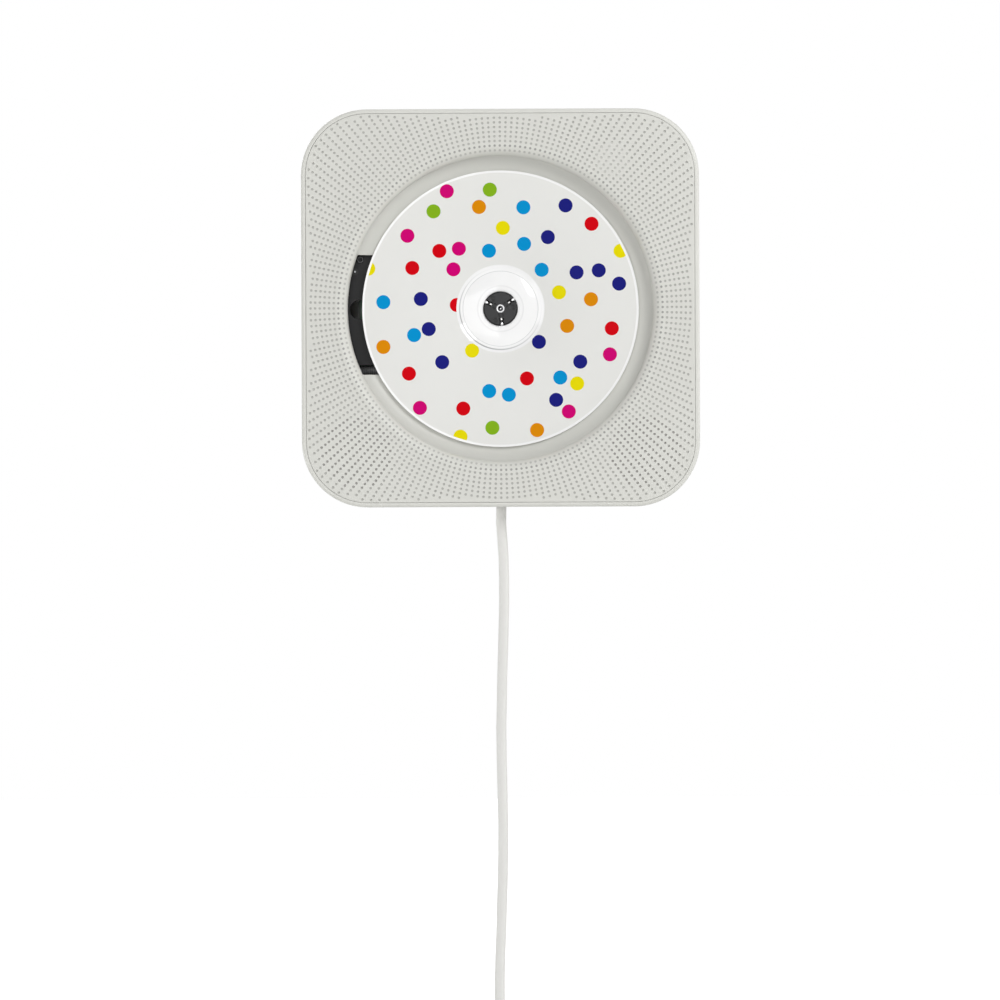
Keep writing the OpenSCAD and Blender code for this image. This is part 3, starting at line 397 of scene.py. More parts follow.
def cut(made, cutter):
    """Takes a Build's solids out of a piece, once and for all."""
    mesh = bpy.data.meshes.new("cutter")
    mesh.from_pydata(upright(np.concatenate(cutter.points)).tolist(), [], cutter.faces)
    tool = linked("cutter", mesh)
    knife = made.modifiers.new("cut", "BOOLEAN")
    knife.operation, knife.solver, knife.object = "DIFFERENCE", "EXACT", tool
    bpy.context.view_layer.update()
    shape = bpy.data.meshes.new_from_object(
        made.evaluated_get(bpy.context.evaluated_depsgraph_get()))
    made.modifiers.clear()
    made.data = shape
    smooth(shape)
    bpy.data.objects.remove(tool)
    return made


def dressed(node, finish, bevel):
    """A merged copy of a CAD node with smooth shading, and soft edges where bevel isn't 0."""
    shape = nodes[node].data.copy()
    work = bmesh.new()
    work.from_mesh(shape)
    bmesh.ops.remove_doubles(work, verts=work.verts, dist=2e-6)
    work.to_mesh(shape)
    work.free()
    shape.materials.clear()
    shape.materials.append(finish.material)
    smooth(shape)
    made = linked(node + "_look", shape)
    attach(made, nodes[node]["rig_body"])
    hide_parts(node)
    if bevel:
        soft = made.modifiers.new("edges", "BEVEL")
        soft.width, soft.segments, soft.limit_method = bevel * MM, 2, "ANGLE"
        soft.angle_limit = math.radians(40)
        soft.harden_normals = True
    # Large flat faces keep their own direction beside small rounded edges
    made.modifiers.new("even", "WEIGHTED_NORMAL").keep_sharp = True
    return made


def tube(path, radius, sides):
    """Rings of points round a path, closed by a fan at each end.

    Each ring stands square to the path, its first side along the path's direction crossed
    with the way out of the wall.
    """
    p = np.asarray(path, float)
    way = np.gradient(p, axis=0)
    way /= np.linalg.norm(way, axis=1)[:, None]
    side = np.cross(way, [0.0, 0.0, 1.0])
    side /= np.linalg.norm(side, axis=1)[:, None]
    up = np.cross(side, way)
    a = np.linspace(0, 2 * math.pi, sides, endpoint=False)[None, :, None]
    points = p[:, None] + radius * (np.cos(a) * side[:, None] + np.sin(a) * up[:, None])
    n = len(p)
    faces = grid_faces(n, sides, False, True, flip=True)
    faces += [list(range(sides)), list(range((n - 1) * sides, n * sides))[::-1]]
    return points.reshape(-1, 3), faces


# Camera

camera = linked("camera", bpy.data.cameras.new("camera"))
camera.data.lens, camera.data.sensor_width = 149.8, 36.0
camera.data.clip_end = 20.0
camera.location = (-0.00055, -1.837, -0.0830)
camera.rotation_euler = (math.radians(90), math.radians(0.24), 0)
bpy.context.scene.camera = camera

# Finishes

WHITE = (0.705, 0.705, 0.662)
CLOTH = (0.42, 0.41, 0.39)
# How dark the painted shade down in the holes and dimples is, as a part of the white
DIMPLE_PAINTED_SHADE = 0.74


def dimmed(colour, factor):
    """A colour times a factor, and no part of it over 1."""
    return tuple(min(1, c * factor) for c in colour)


def moulded(name, colour, roughness=0.42, grain=0.012, per_mm=1.6, drift=0.03, **sockets):
    """Moulded plastic: a fine even grain, and a slow drift in colour and gloss."""
    made = Finish(name, colour, roughness, **sockets)
    slow = made.noise(0.02, 3.0)
    fine = made.noise(per_mm, 2.0)
    made.set(base_color=made.mix(slow, dimmed(colour, 1 - drift), dimmed(colour, 1 + drift)))
    made.set(roughness=roughness + (fine - 0.5) * 0.08 + (slow - 0.5) * 0.06)
    return made.bump(fine, grain)


def metal(name, colour, roughness=0.3, stretch=(1, 1, 1), scratch=0.004):
    """Bare or plated metal with fine marks drawn out along one way."""
    made = Finish(name, colour, roughness, metallic=1.0)
    marks = made.noise(2.5, 3.0, stretch)
    blotch = made.noise(0.08, 2.0)
    made.set(base_color=made.mix(blotch, dimmed(colour, 0.9), colour))
    made.set(roughness=roughness + (marks - 0.5) * 0.18 + (blotch - 0.5) * 0.1)
    return made.bump(marks, scratch)


shell = moulded("white_shell", WHITE, coat_weight=0.3, coat_roughness=0.3)
# Painted shade: the well gets a darker copy of the shell's white
well_white_shaded = moulded("white_well_shaded", dimmed(WHITE, 0.93))
inner_white = moulded("white_inner", (0.78, 0.78, 0.76), 0.35)
cover_white = moulded("white_cover", dimmed(WHITE, 0.97), 0.55, grain=0.03, per_mm=1.1)
black = moulded("black_moulded", (0.040, 0.040, 0.042), 0.45, grain=0.02, per_mm=2.0)
gloss_black = moulded("black_gloss", (0.030, 0.030, 0.032), 0.22, grain=0.003)
rubber = moulded("black_rubber", (0.028, 0.028, 0.028), 0.75, grain=0.03, per_mm=2.5)
steel = metal("bright_steel", (0.62, 0.61, 0.60), 0.28)
zinc = metal("zinc_plate", (0.58, 0.60, 0.62), 0.42, stretch=(1, 1, 8))
chrome = metal("polished_ball", (0.78, 0.78, 0.79), 0.08, scratch=0.0005)
brass = metal("plated_brass", (0.72, 0.60, 0.34), 0.3, stretch=(6, 6, 1))
cord_white = moulded("cord_jacket", (0.790, 0.785, 0.760), 0.5, grain=0.02, per_mm=1.2)


def board_finish():
    """Green solder resist over copper tracks: bands that turn at random between x and y."""
    made = Finish("circuit_green", (0.02, 0.12, 0.05), 0.35)
    x, y, z = made.axes()
    patch = made.node("TexVoronoi", None, {"Vector": made.place(), "Scale": 140.0}, "Color")
    split = made.tree.nodes.new("ShaderNodeSeparateColor")
    made.put(split.inputs[0], patch)
    turn = Value(made.tree, split.outputs[0]) > 0.5
    along = x * turn + (z + y) * (1 - turn)
    track = abs((along / 1.3).nearest()) < 0.22
    made.set(base_color=made.mix(track, (0.012, 0.085, 0.035), (0.03, 0.19, 0.08)))
    return made.bump(track, 0.03)


def parts_with_painted_light(name, body, top):
    """Moulded blocks, with painted light: faces turned out of the wall lighter than their sides."""
    made = Finish(name, body, 0.4)
    normal = made.node("NewGeometry", output="Normal")
    _, y, _ = made.axes(normal)
    # Painted light on the faces that turn out of the wall, painted shade on their sides
    made.set(base_color=made.mix((y * -0.001).step(0.4, 0.8), body, top))
    return made.bump(made.noise(2.0), 0.01)


board = board_finish()
chips = parts_with_painted_light("board_parts", (0.05, 0.05, 0.055), (0.09, 0.09, 0.095))
power_parts = parts_with_painted_light("power_parts", (0.28, 0.20, 0.05), (0.42, 0.33, 0.10))


def cone_finish():
    """Pressed black paper, with rings about each speaker's own axis."""
    made = Finish("cone_paper", (0.02, 0.02, 0.02), 0.85)
    x, _, z = made.axes()
    r = ((abs(x) - SPEAKER[0]) ** 2.0 + (z - SPEAKER[1]) ** 2.0).root()
    made.set(base_color=made.mix(made.noise(0.8), (0.015, 0.015, 0.015), (0.05, 0.048, 0.045)))
    return made.bump((r * 2.6).wave() * 0.5 + 0.5, 0.08)


cone = cone_finish()


def hub_finish():
    """Black plastic, darker on the rim's bevel and in three round marks."""
    made = moulded("black_hub", (0.020, 0.020, 0.021), 0.38, grain=0.012,
                   specular_ior_level=0.32)
    x, _, z, r = made.about_axis()
    # The marks lie at 6, 126 and 246 degrees: a wave of three turns is highest there
    turn = (z.over(x) * 3.0 + (math.pi / 2 - math.radians(18))).wave()
    away = ((r - 5.5) ** 2.0 + ((1 - turn) * 6.7)).root()
    mark = 1 - away.step(0.9, 1.3)
    dark = mark * 0.6 + r.step(6.8, 7.1) * 0.5
    made.set(base_color=made.mix(dark, made.colour(), (0.002, 0.002, 0.002)))
    return made


def spindle_finish():
    """Bright turned steel, with painted shade inside its bore and on its outer edge, and a painted
    highlight left bright at the bore's centre.
    """
    made = metal("spindle_steel", (0.66, 0.66, 0.67), 0.22)
    _, _, _, r = made.about_axis()
    # Painted shade in the bore and on the outer edge; the bore's middle stays bright as a painted
    # highlight
    bore_and_edge_shade = r.between(0.28, 1.12) + r.step(1.5, 1.75) * 0.75
    made.set(base_color=made.mix(bore_and_edge_shade, made.colour(), (0.06, 0.06, 0.065)))
    return made


def screw_finish():
    """Dull dark steel with a thread's ridges across the screw, painted lighter on their crests and
    darker between as painted light and shade.
    """
    made = Finish("feed_screw_steel", (0.36, 0.365, 0.37), 0.5)
    x, _, _ = made.axes()
    thread = (x * (2 * math.pi / 0.9)).wave() * 0.5 + 0.5
    # Painted light and shade: the thread's crests lighter, its grooves darker
    made.set(base_color=made.mix(thread, (0.26, 0.265, 0.27), (0.46, 0.465, 0.47)))
    return made.bump(thread, 0.12)


hub_black = hub_finish()
spindle_steel = spindle_finish()
screw_steel = screw_finish()
deck_black = moulded("black_deck", (0.016, 0.016, 0.017), 0.5, grain=0.02, per_mm=2.0,
                     specular_ior_level=0.25)
ferrite = moulded("ferrite", (0.06, 0.06, 0.062), 0.6, grain=0.03)


def panel_finish():
    """The shell's plastic, with painted shade down in the holes, and two faint rings of painted
    shade dots on the rolled lip, which has no hollows of its own.

    A ring is a radius, and a hole is what lies within a hole's radius of the nearest
    crossing of a ring and a radial line.
    """
    made = moulded("white_panel", WHITE)
    x, y, z, r = made.about_axis()
    line = (z.over(x) * (HOLE_LINES / (2 * math.pi))).nearest() * (2 * math.pi / HOLE_LINES) * r
    ring = ((r - FIRST_RING) / HOLE_PITCH).nearest() * HOLE_PITCH
    away = (line ** 2.0 + ring ** 2.0).root()
    # Painted shade: dark dots where the lip's two rings would have dimples, stronger towards the
    # flat face
    hole = 1 - away.step(HOLE_D * 0.36, HOLE_D * 0.58)
    lip_painted_shade = r.between(WELL_R + 1.3, LIP_C - 0.3) * (r.step(WELL_R, LIP_C) * 0.7 + 0.3)
    face = made.mix(hole * lip_painted_shade, made.colour(), dimmed(WHITE, 0.45))
    # Painted shade: below the face, in every dimple and hole, the white is darkened
    sunk_painted_shade = (y + BODY_D).step(0.0, 0.1) * (r > LIP_C)
    made.set(base_color=made.mix(sunk_painted_shade, face, dimmed(WHITE, DIMPLE_PAINTED_SHADE)))
    return made


panel_white = panel_finish()


def cloth_finish():
    """Plain weave: two crossed waves, and the odd thicker thread."""
    made = Finish("grille_cloth", CLOTH, 0.9)
    x, _, z = made.axes()
    weave = (x * 9.0).wave() * (z * 9.0).wave() * 0.5 + 0.5
    slub = made.noise(0.5, 2.0, (1, 1, 6))
    made.set(base_color=made.mix(weave * 0.5 + slub * 0.5, dimmed(CLOTH, 0.75),
                                 dimmed(CLOTH, 1.25)))
    return made.bump(weave, 0.05)


cloth = cloth_finish()

# Front panel


def polar(radius, a, z):
    """Points at a distance and an angle from the disc's axis, z out of the wall."""
    radius, a, z = np.broadcast_arrays(radius, a, z)
    return np.stack([radius * np.cos(a), radius * np.sin(a), z], -1)


def outline_radius(a, w, r):
    """Distance from the centre to a rounded square's outline, in the direction a.

    On a side it is half the width over the larger of |cos a| and |sin a|. On a corner it is
    the farther crossing of the ray with the circle about the corner's centre.
    """
    c = w / 2 - r
    ca, sa = np.abs(np.cos(a)), np.abs(np.sin(a))
    side = (w / 2) / np.maximum(ca, sa)
    along = c * (ca + sa)
    corner = along + np.sqrt(np.maximum(along ** 2 - 2 * c * c + r * r, 0))
    return np.where(side * np.minimum(ca, sa) > c, corner, side)


def inside_panel(x, y):
    """True where a hole's centre is far enough inside the panel's edge.

    The distance to the edge is the corner's radius less the distance from its centre, and
    on the sides the half width less the larger of |x| and |y|. The middle of each side
    keeps a wider plain strip than its ends.
    """
    h = PANEL_W / 2
    c = h - PANEL_R
    x, y = np.abs(x), np.abs(y)
    dx, dy = np.maximum(x - c, 0), np.maximum(y - c, 0)
    depth = np.where((dx > 0) & (dy > 0), PANEL_R - np.hypot(dx, dy), h - np.maximum(x, y))
    return depth > HOLE_MARGIN + MIDDLE_MARGIN * (np.minimum(x, y) < MIDDLE_HALF)


def in_round(x, y, patch):
    """True where a hole's centre is inside a round patch of (x, y, radius)."""
    return np.hypot(x - patch[0], y - patch[1]) < patch[2]


def front_panel():
    """The perforated panel in one closed shell, its holes as real hollows.

    The face is cut into cells between rings and radial lines, each with one hole of twelve
    sides. Before a speaker or the sensor the hole goes through; elsewhere it is a dimple.
    Past the last whole cell on a line, one flat face runs out to the panel's edge, or two
    round the line's last dimple where that fits.
    """
    lines, rim = HOLE_LINES, 12
    bounds_r = np.concatenate([[LIP_C], FIRST_RING + HOLE_PITCH * (np.arange(HOLE_RINGS) + 0.5)])
    borders = (np.arange(lines) + 0.5) * 2 * math.pi / lines
    # The last cell on a line may be shorter, down to what its hole needs
    reach = outline_radius(borders, PANEL_W - 2 * PANEL_EDGE_R, PANEL_R - PANEL_EDGE_R) - 0.1
    cell_r = np.minimum(bounds_r[None, :], reach[:, None])
    used = bounds_r[None, :] - cell_r < SHORT_CELL
    points, faces = [], []
    rung = np.full((2, lines, len(bounds_r)), -1)
    count = 0
    for level, z in enumerate((BODY_D, PANEL_Z)):
        j, i = np.nonzero(used)
        points.append(polar(cell_r[j, i], borders[j], z))
        rung[level, j, i] = count + np.arange(len(i))
        count += len(i)

    # The edge, from the front's rounding down to the back
    edge_steps = 4
    a_edge = (np.arange(lines * edge_steps) + edge_steps / 2) * 2 * math.pi / (lines * edge_steps)
    e = PANEL_EDGE_R
    drops = [(e, BODY_D), (e * 0.617, BODY_D - e * 0.076), (e * 0.293, BODY_D - e * 0.293),
             (e * 0.076, BODY_D - e * 0.617), (0, BODY_D - e), (0, PANEL_Z)]
    edge = []
    for inset, z in drops:
        radius = outline_radius(a_edge, PANEL_W - 2 * inset, PANEL_R - inset)
        points.append(polar(radius, a_edge, z))
        edge.append(count + np.arange(len(a_edge)))
        count += len(a_edge)
    for upper, lower in zip(edge[:-1], edge[1:]):
        faces += np.stack([lower, np.roll(lower, -1), np.roll(upper, -1), upper], 1).tolist()

    # The rolled lip, over the front and back under it
    turn = np.radians(np.linspace(90, 0, 17))
    lip = [(LIP_C - bend * math.cos(t), CREASE_Z + bend * math.sin(t))
           for bend, turns in ((LIP_R, turn[1:]), (LIP_R - PANEL_T, turn[::-1][:-1:2]))
           for t in turns]
    rows = [rung[0, :, 0]]
    for radius, z in lip:
        points.append(polar(radius, borders, z))
        rows.append(count + np.arange(lines))
        count += lines
    rows.append(rung[1, :, 0])
    for outer, inner in zip(rows[:-1], rows[1:]):
        faces += np.stack([outer, np.roll(outer, -1), np.roll(inner, -1), inner], 1).tolist()

    # Cells with and without holes
    k, n = np.meshgrid(np.arange(lines), np.arange(HOLE_RINGS), indexing="ij")
    k, n = k.ravel(), n.ravel()
    before = (k - 1) % lines
    whole = used[k, n + 1] & used[before, n + 1]
    k, n, before = k[whole], n[whole], before[whole]
    a = k * 2 * math.pi / lines
    r = FIRST_RING + HOLE_PITCH * n
    x, y = r * np.cos(a), r * np.sin(a)
    holed = inside_panel(x, y)
    through = holed & (in_round(np.abs(x), y, SPEAKER) | in_round(x, y, SENSOR))
    corners = [np.stack([rung[v][before, n], rung[v][before, n + 1], rung[v][k, n + 1],
                         rung[v][k, n]], 1) for v in (0, 1)]
    faces += corners[0][~holed].tolist()
    faces += corners[1][~through][:, ::-1].tolist()

    def circle(at_r, at_a, radius, z, start=math.pi + math.pi / rim):
        """Rings of points round centres on the given radii and angles.

        By itself it starts so that three of the twelve sides belong to each cell's corner.
        """
        nonlocal count
        local = start + 2 * math.pi * np.arange(rim) / rim
        rr = at_r[:, None] + radius * np.cos(local)
        aa = at_a[:, None] + radius * np.sin(local) / rr
        points.append(polar(rr, aa, z).reshape(-1, 3))
        index = count + np.arange(rr.size).reshape(-1, rim)
        count += rr.size
        return index

    def collar(ring, corner, flip):
        """Faces between a hole's circle and its cell's four corners."""
        for q in range(4):
            c = corner[:, q]
            i = 3 * q
            for s in (0, 1):
                tri = np.stack([c, ring[:, i + s + 1], ring[:, i + s]], 1)
                faces.extend((tri[:, ::-1] if flip else tri).tolist())
            quad = np.stack([c, corner[:, (q + 1) % 4], ring[:, (i + 3) % rim], ring[:, i + 2]], 1)
            faces.extend((quad[:, ::-1] if flip else quad).tolist())

    def wall(top, bottom):
        faces.extend(np.stack([top, np.roll(top, -1, 1), np.roll(bottom, -1, 1), bottom],
                              -1).reshape(-1, 4).tolist())

    blind = holed & ~through
    top = circle(r[blind], a[blind], HOLE_D / 2, BODY_D)
    floor = circle(r[blind], a[blind], DIMPLE_FLOOR_R, BODY_D - DIMPLE_DEPTH)
    collar(top, corners[0][blind], False)
    wall(top, floor)
    faces.extend(floor.tolist())
    top = circle(r[through], a[through], HOLE_D / 2, BODY_D)
    bottom = circle(r[through], a[through], HOLE_D / 2, PANEL_Z)
    collar(top, corners[0][through], False)
    collar(bottom, corners[1][through], True)
    wall(top, bottom)

    # Flat faces from the last cells out to the edge, round one more dimple where it fits
    done_on = np.sum(whole.reshape(lines, HOLE_RINGS), 1)
    end_a = np.arange(lines) * 2 * math.pi / lines
    end_r = FIRST_RING + HOLE_PITCH * done_on
    spare = inside_panel(end_r * np.cos(end_a), end_r * np.sin(end_a))
    tops = circle(end_r[spare], end_a[spare], HOLE_D / 2, BODY_D, 0.0)
    floor = circle(end_r[spare], end_a[spare], DIMPLE_FLOOR_R, BODY_D - DIMPLE_DEPTH, 0.0)
    wall(tops, floor)
    faces.extend(floor.tolist())
    end_top = dict(zip(np.nonzero(spare)[0].tolist(), tops.tolist()))
    for line in range(lines):
        last = (line - 1) % lines
        done = int(done_on[line])
        for level, ring in ((0, edge[0]), (1, edge[-1])):
            down = rung[level, last, done:]
            up = rung[level, line, done:]
            start = (last * edge_steps) % len(a_edge)
            outer = [int(ring[(start + s) % len(a_edge)]) for s in range(edge_steps + 1)]
            down = [int(i) for i in down if i >= 0]
            up = [int(i) for i in up[::-1] if i >= 0]
            if level:
                faces.append((down + outer + up)[::-1])
            elif line in end_top:
                c = end_top[line]
                faces.append(down + outer[:3] + [c[0]] + c[:5:-1])
                faces.append(outer[2:] + up + c[6::-1])
                faces.append([down[0], c[6], up[-1]])
            else:
                faces.append(down + outer + up)
    return np.concatenate(points), faces


panel = Build().add(*front_panel())
# Bosses for the well's screws, and posts for the sensor's board
for boss_at in polar(BOSS_AT_R, np.arange(4) * math.pi / 2, 0)[:, :2].tolist():
    panel.ring([(3, CREASE_Z), (3, PANEL_Z), (1, PANEL_Z), (1, CREASE_Z)], 32, boss_at)
for side_x in (-SENSOR_POST, SENSOR_POST):
    panel.rod((SENSOR[0] + side_x, SENSOR[1]), PANEL_Z - 8, PANEL_Z, 1.8)
panel_piece = built("perforated_panel", panel, "unit", panel_white, "white_shell")
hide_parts("front_grille")


def behind_holes(patch, below):
    """A round sheet behind a group of open holes, pressed up into each to below the face."""
    k, n = np.meshgrid(np.arange(HOLE_LINES), np.arange(HOLE_RINGS), indexing="ij")
    r, a = FIRST_RING + HOLE_PITCH * n.ravel(), k.ravel() * 2 * math.pi / HOLE_LINES
    places = polar(r, a, 0)[:, :2]
    made = Build()
    for place in places[in_round(places[:, 0], places[:, 1], patch)].tolist():
        made.rod(place, PANEL_Z - 0.2, BODY_D - below, HOLE_D / 2 - 0.02, 8)
    return made.rod(patch[:2], PANEL_Z - 0.4, PANEL_Z - 0.2, patch[2] + 0.8, 48)


for side_name, sign in (("left", -1), ("right", 1)):
    built("pressed_cloth_" + side_name, behind_holes((sign * SPEAKER[0], *SPEAKER[1:]), 0.35),
          "unit", cloth, "grille_cloth")
# Painted shade: a sheet in a darker copy of the white fills the sensor's holes, to look like the
# shade of the dimples round it
screen_painted_shade = moulded("sensor_screen", dimmed(WHITE, 0.88), 0.5)
built("sensor_screen", behind_holes(SENSOR, 0.25), "unit", screen_painted_shade, "white_shell")

# Side frame

rim = arc(-RIM_R, BODY_D - RIM_R, RIM_R, 0, 90, 9)
section = [(0, BACK_Z)] + [(-x, y) for x, y in rim] + [
    (FRAME_WALL, BODY_D), (FRAME_WALL, PANEL_Z), (FRAME_WALL + LEDGE_W, PANEL_Z),
    (FRAME_WALL + LEDGE_W, PANEL_Z - LEDGE_T), (FRAME_WALL, PANEL_Z - LEDGE_T),
    (FRAME_WALL, COVER_Z + LEDGE_T), (FRAME_WALL + LEDGE_W, COVER_Z + LEDGE_T),
    (FRAME_WALL + LEDGE_W, COVER_Z), (FRAME_WALL, COVER_Z), (FRAME_WALL, BACK_Z)]
points, faces = swept_square(section, BODY_W, CORNER_R)
side = piece("side_frame_look", points, faces, "unit", shell, "white_shell")
# Slots for the keys and the display above, and the bush's round hole below
holes = Build()
for x in BUTTON_X.values():
    holes.prism(capsule(x, CONTROLS_Z, BUTTON_W + 0.4, BUTTON_T + 0.4), INNER - 1, HALF + 1, "y")
holes.prism(round_rect(0, CONTROLS_Z, DISPLAY_W + 0.2, DISPLAY_T + 0.2, 0.3, 3),
            INNER - 1, HALF + 1, "y")
holes.prism(arc(0, CORD_Z, BUSH_HOLE_R, 0, 354.375, 64), -HALF - 1, -INNER + 1, "y")
cut(side, holes)
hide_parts("side_frame")

# Well


def cove_arc(radius, run, steps):
    """From the floor's edge out and up, over the given run, about the cove's own centre."""
    return arc(COVE_C, FLOOR_Z + COVE_R, radius, -90,
               -math.degrees(math.acos(run / radius)), steps).tolist()


front = cove_arc(COVE_R, DISC_MARGIN, 11)
behind = cove_arc(COVE_R + WELL_WALL, DISC_MARGIN + WELL_WALL, 9)
# Round the plate: out over the floor and up the wall, then down its back and in again
profile = ([(0.5, FLOOR_Z)] + front + [(WELL_R, CREASE_Z), (WELL_R + WELL_WALL, CREASE_Z)]
           + behind[::-1] + [(0.5, FLOOR_Z - WELL_WALL)])
well = built("disc_well_look", Build().ring(profile, 200), "unit", well_white_shaded, "white_shell")
edge_r = WELL_R - 0.05
a_top = math.degrees(math.asin(WINDOW_TOP / edge_r))
a_low = math.degrees(math.asin(WINDOW_BOTTOM / edge_r))
window = np.concatenate([[(WINDOW_RIGHT, WINDOW_BOTTOM), (WINDOW_RIGHT, WINDOW_TOP)],
                         arc(0, 0, edge_r, 180 - a_top, 180 - a_low, 48)])
cut(well, Build().prism(window, FLOOR_Z - 4, BODY_D + 5))
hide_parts("disc_well")

# Small screw in its dark recess and a moulded boss on the deck, seen through the window

DECK_Z, SMALL_SCREW = 27.2, (-63.2, 16.5)
seat = Build().ring([(0.4, DECK_Z + 0.2), (1.5, DECK_Z + 0.2), (1.5, DECK_Z), (0.4, DECK_Z)],
                    32, SMALL_SCREW)
built("small_screw_seat", seat, "unit", rubber, "black_plastic")
head = Build().ring([(0.1, DECK_Z + 0.4), (0.3, DECK_Z + 0.4), (0.42, DECK_Z + 0.3),
                     (0.42, DECK_Z), (0.1, DECK_Z)], 24, SMALL_SCREW)
built("small_screw", head, "unit", zinc, "steel_bright")
boss = Build().ring([(0.9, DECK_Z + 0.7), (1.0, DECK_Z + 0.9), (1.3, DECK_Z + 0.9),
                     (1.5, DECK_Z + 0.7), (1.6, DECK_Z), (0.9, DECK_Z)], 32, (-60.9, 21.7))
built("deck_boss", boss, "unit", gloss_black, "black_plastic")

# Disc

PALETTE = [(210, 0, 16), (221, 138, 1), (232, 219, 1), (131, 177, 28), (0, 145, 208),
           (26, 29, 122), (207, 0, 114)]
LABEL_IN_R, LABEL_OUT_R = 19.1, 59.0
DATA_IN_R, DATA_OUT_R = 22.5, 58.5
DOTS, DOT_R, DOT_DRIFT, GOLDEN_ANGLE = 50, 3.05, 4.2, 2.39996
DOTS_IN_R, DOTS_OUT_R = 19.5, 58.5
# Painted shade along the edges of the clear hub's stepped rings
RING_EDGE_SHADE = (0.30, 0.30, 0.31)


def linear(colour):
    """sRGB from 0 to 255 as linear light from 0 to 1."""
    return tuple((c / 255 / 12.92) if c <= 10 else ((c / 255 + 0.055) / 1.055) ** 2.4
                 for c in colour)


def disc_finish():
    """Printed label with round dots, a clear rim and hub, and a mirror underneath.

    The dots lie on a golden angle spiral, which spreads them evenly, each moved a little:
    dot k is turned by k golden angles, and r^2 grows evenly with k. Where two overlap, their
    inks multiply.
    """
    made = Finish("disc_print", (0.8, 0.8, 0.79), 0.28, specular_ior_level=0.04)
    x, y, z, r = made.about_axis()
    paper = linear((238, 238, 235))
    colour = made.mix(made.noise(0.03), dimmed(paper, 0.985), paper)
    chance = np.random.default_rng(41)
    flat = made.node("CombineXYZ", None, {0: x, 1: z})
    for k in range(DOTS):
        radius = math.sqrt(
            DOTS_IN_R ** 2 + (DOTS_OUT_R ** 2 - DOTS_IN_R ** 2) * (k + 0.5) / DOTS)
        angle = k * GOLDEN_ANGLE + 0.8
        dx, dy = chance.uniform(-DOT_DRIFT, DOT_DRIFT, 2)
        spot = (radius * math.cos(angle) + dx, radius * math.sin(angle) + dy, 0)
        away = made.node("VectorMath", {"operation": "DISTANCE"}, {0: flat, 1: spot}, "Value")
        ink = linear(PALETTE[int(chance.integers(len(PALETTE)))])
        ink = tuple(min(1, c * 1.06 / p) for c, p in zip(ink, paper))
        colour = made.mix(away < DOT_R, colour, ink, "MULTIPLY")
    printed = r.between(LABEL_IN_R, LABEL_OUT_R)
    front = y < -(DISC_Z + DISC_T * 0.6)
    # Clear plastic over the white platter, with painted shade along the thin edges of its stepped
    # rings and a painted shadow in an arc on the lower left
    lower_left_shadow = ((z.over(x) + 0.65).wave() * -0.5 + 0.5) ** 2.0
    inner = 1 - abs(r - 16.3).step(0.06, 0.26)
    outer = (1 - abs(r - 17.7).step(0.12, 0.4)) * lower_left_shadow
    bore_edge_shade = (1 - abs(r - 9.9).step(0.1, 0.5)) * 0.12
    clear = made.mix(r.step(16.5, LABEL_IN_R), (0.99, 0.99, 0.99), (0.96, 0.96, 0.96))
    clear = made.mix(inner * 0.35 + outer * 0.85 + bore_edge_shade, clear, RING_EDGE_SHADE)
    top = made.mix(printed, clear, colour)
    top = made.mix(r > LABEL_OUT_R, top, (0.99, 0.99, 0.99))
    mirror = made.mix((r * 7.0).wave() * 0.5 + 0.5, (0.60, 0.62, 0.66), (0.74, 0.73, 0.70))
    data = r.between(DATA_IN_R, DATA_OUT_R) * (1 - front)
    made.set(base_color=made.mix(front, made.mix(data, clear, mirror), top))
    made.set(metallic=data, roughness=0.34 - data * 0.26 - (1 - printed) * 0.16,
             coat_weight=1 - printed)
    return made.bump(printed * front + inner * 0.6, 0.02)


# From the bore over the front, with its shallow groove, round the rim and back underneath,
# past the stacking ring
e = 0.12
low, high = DISC_Z, DISC_Z + DISC_T
profile = [(BORE_R, low + e), (BORE_R, high - e), (BORE_R + e, high), (15.8, high),
           (16.05, high - e), (16.55, high - e), (16.8, high), (DISC_R - e, high),
           (DISC_R, high - e), (DISC_R, low + e), (DISC_R - e, low), (17.5, low),
           (17.4, low - 0.2), (17.1, low - 0.2), (17, low), (BORE_R + e, low)]
disc_piece = built("disc_look", Build().ring(profile, 256), "disc", disc_finish(), "disc_label")
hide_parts("disc")

# Cord

LEAD = np.array([
    (0, -80), (0, -88), (-0.1, -93), (0.4, -100), (0.9, -108), (1.1, -117), (1.1, -127),
    (0.8, -138), (0.5, -149), (0.1, -160), (-0.1, -171), (-0.4, -182), (-0.3, -193),
    (-0.1, -204), (0.1, -215), (0.3, -226), (0.2, -237), (0, -248), (-0.4, -259), (-0.7, -270),
    (-1.2, -281), (-1.5, -292), (-1.5, -303), (-1, -314), (-0.3, -324), (0, -338 + CORD_D)])
TURNS, LAYERS, LAYER_PITCH, COIL_R, COIL_PITCH, TAIL = 10, 4, 5.0, 17.8, 5.0, 12.0
LAYER_TURNS = TURNS / LAYERS
COIL_OUT = COIL_R + LAYER_TURNS * COIL_PITCH
COIL_C = (-COIL_OUT, -338.0)
COIL_END_Z = CORD_Z - (LAYERS - 1) * LAYER_PITCH


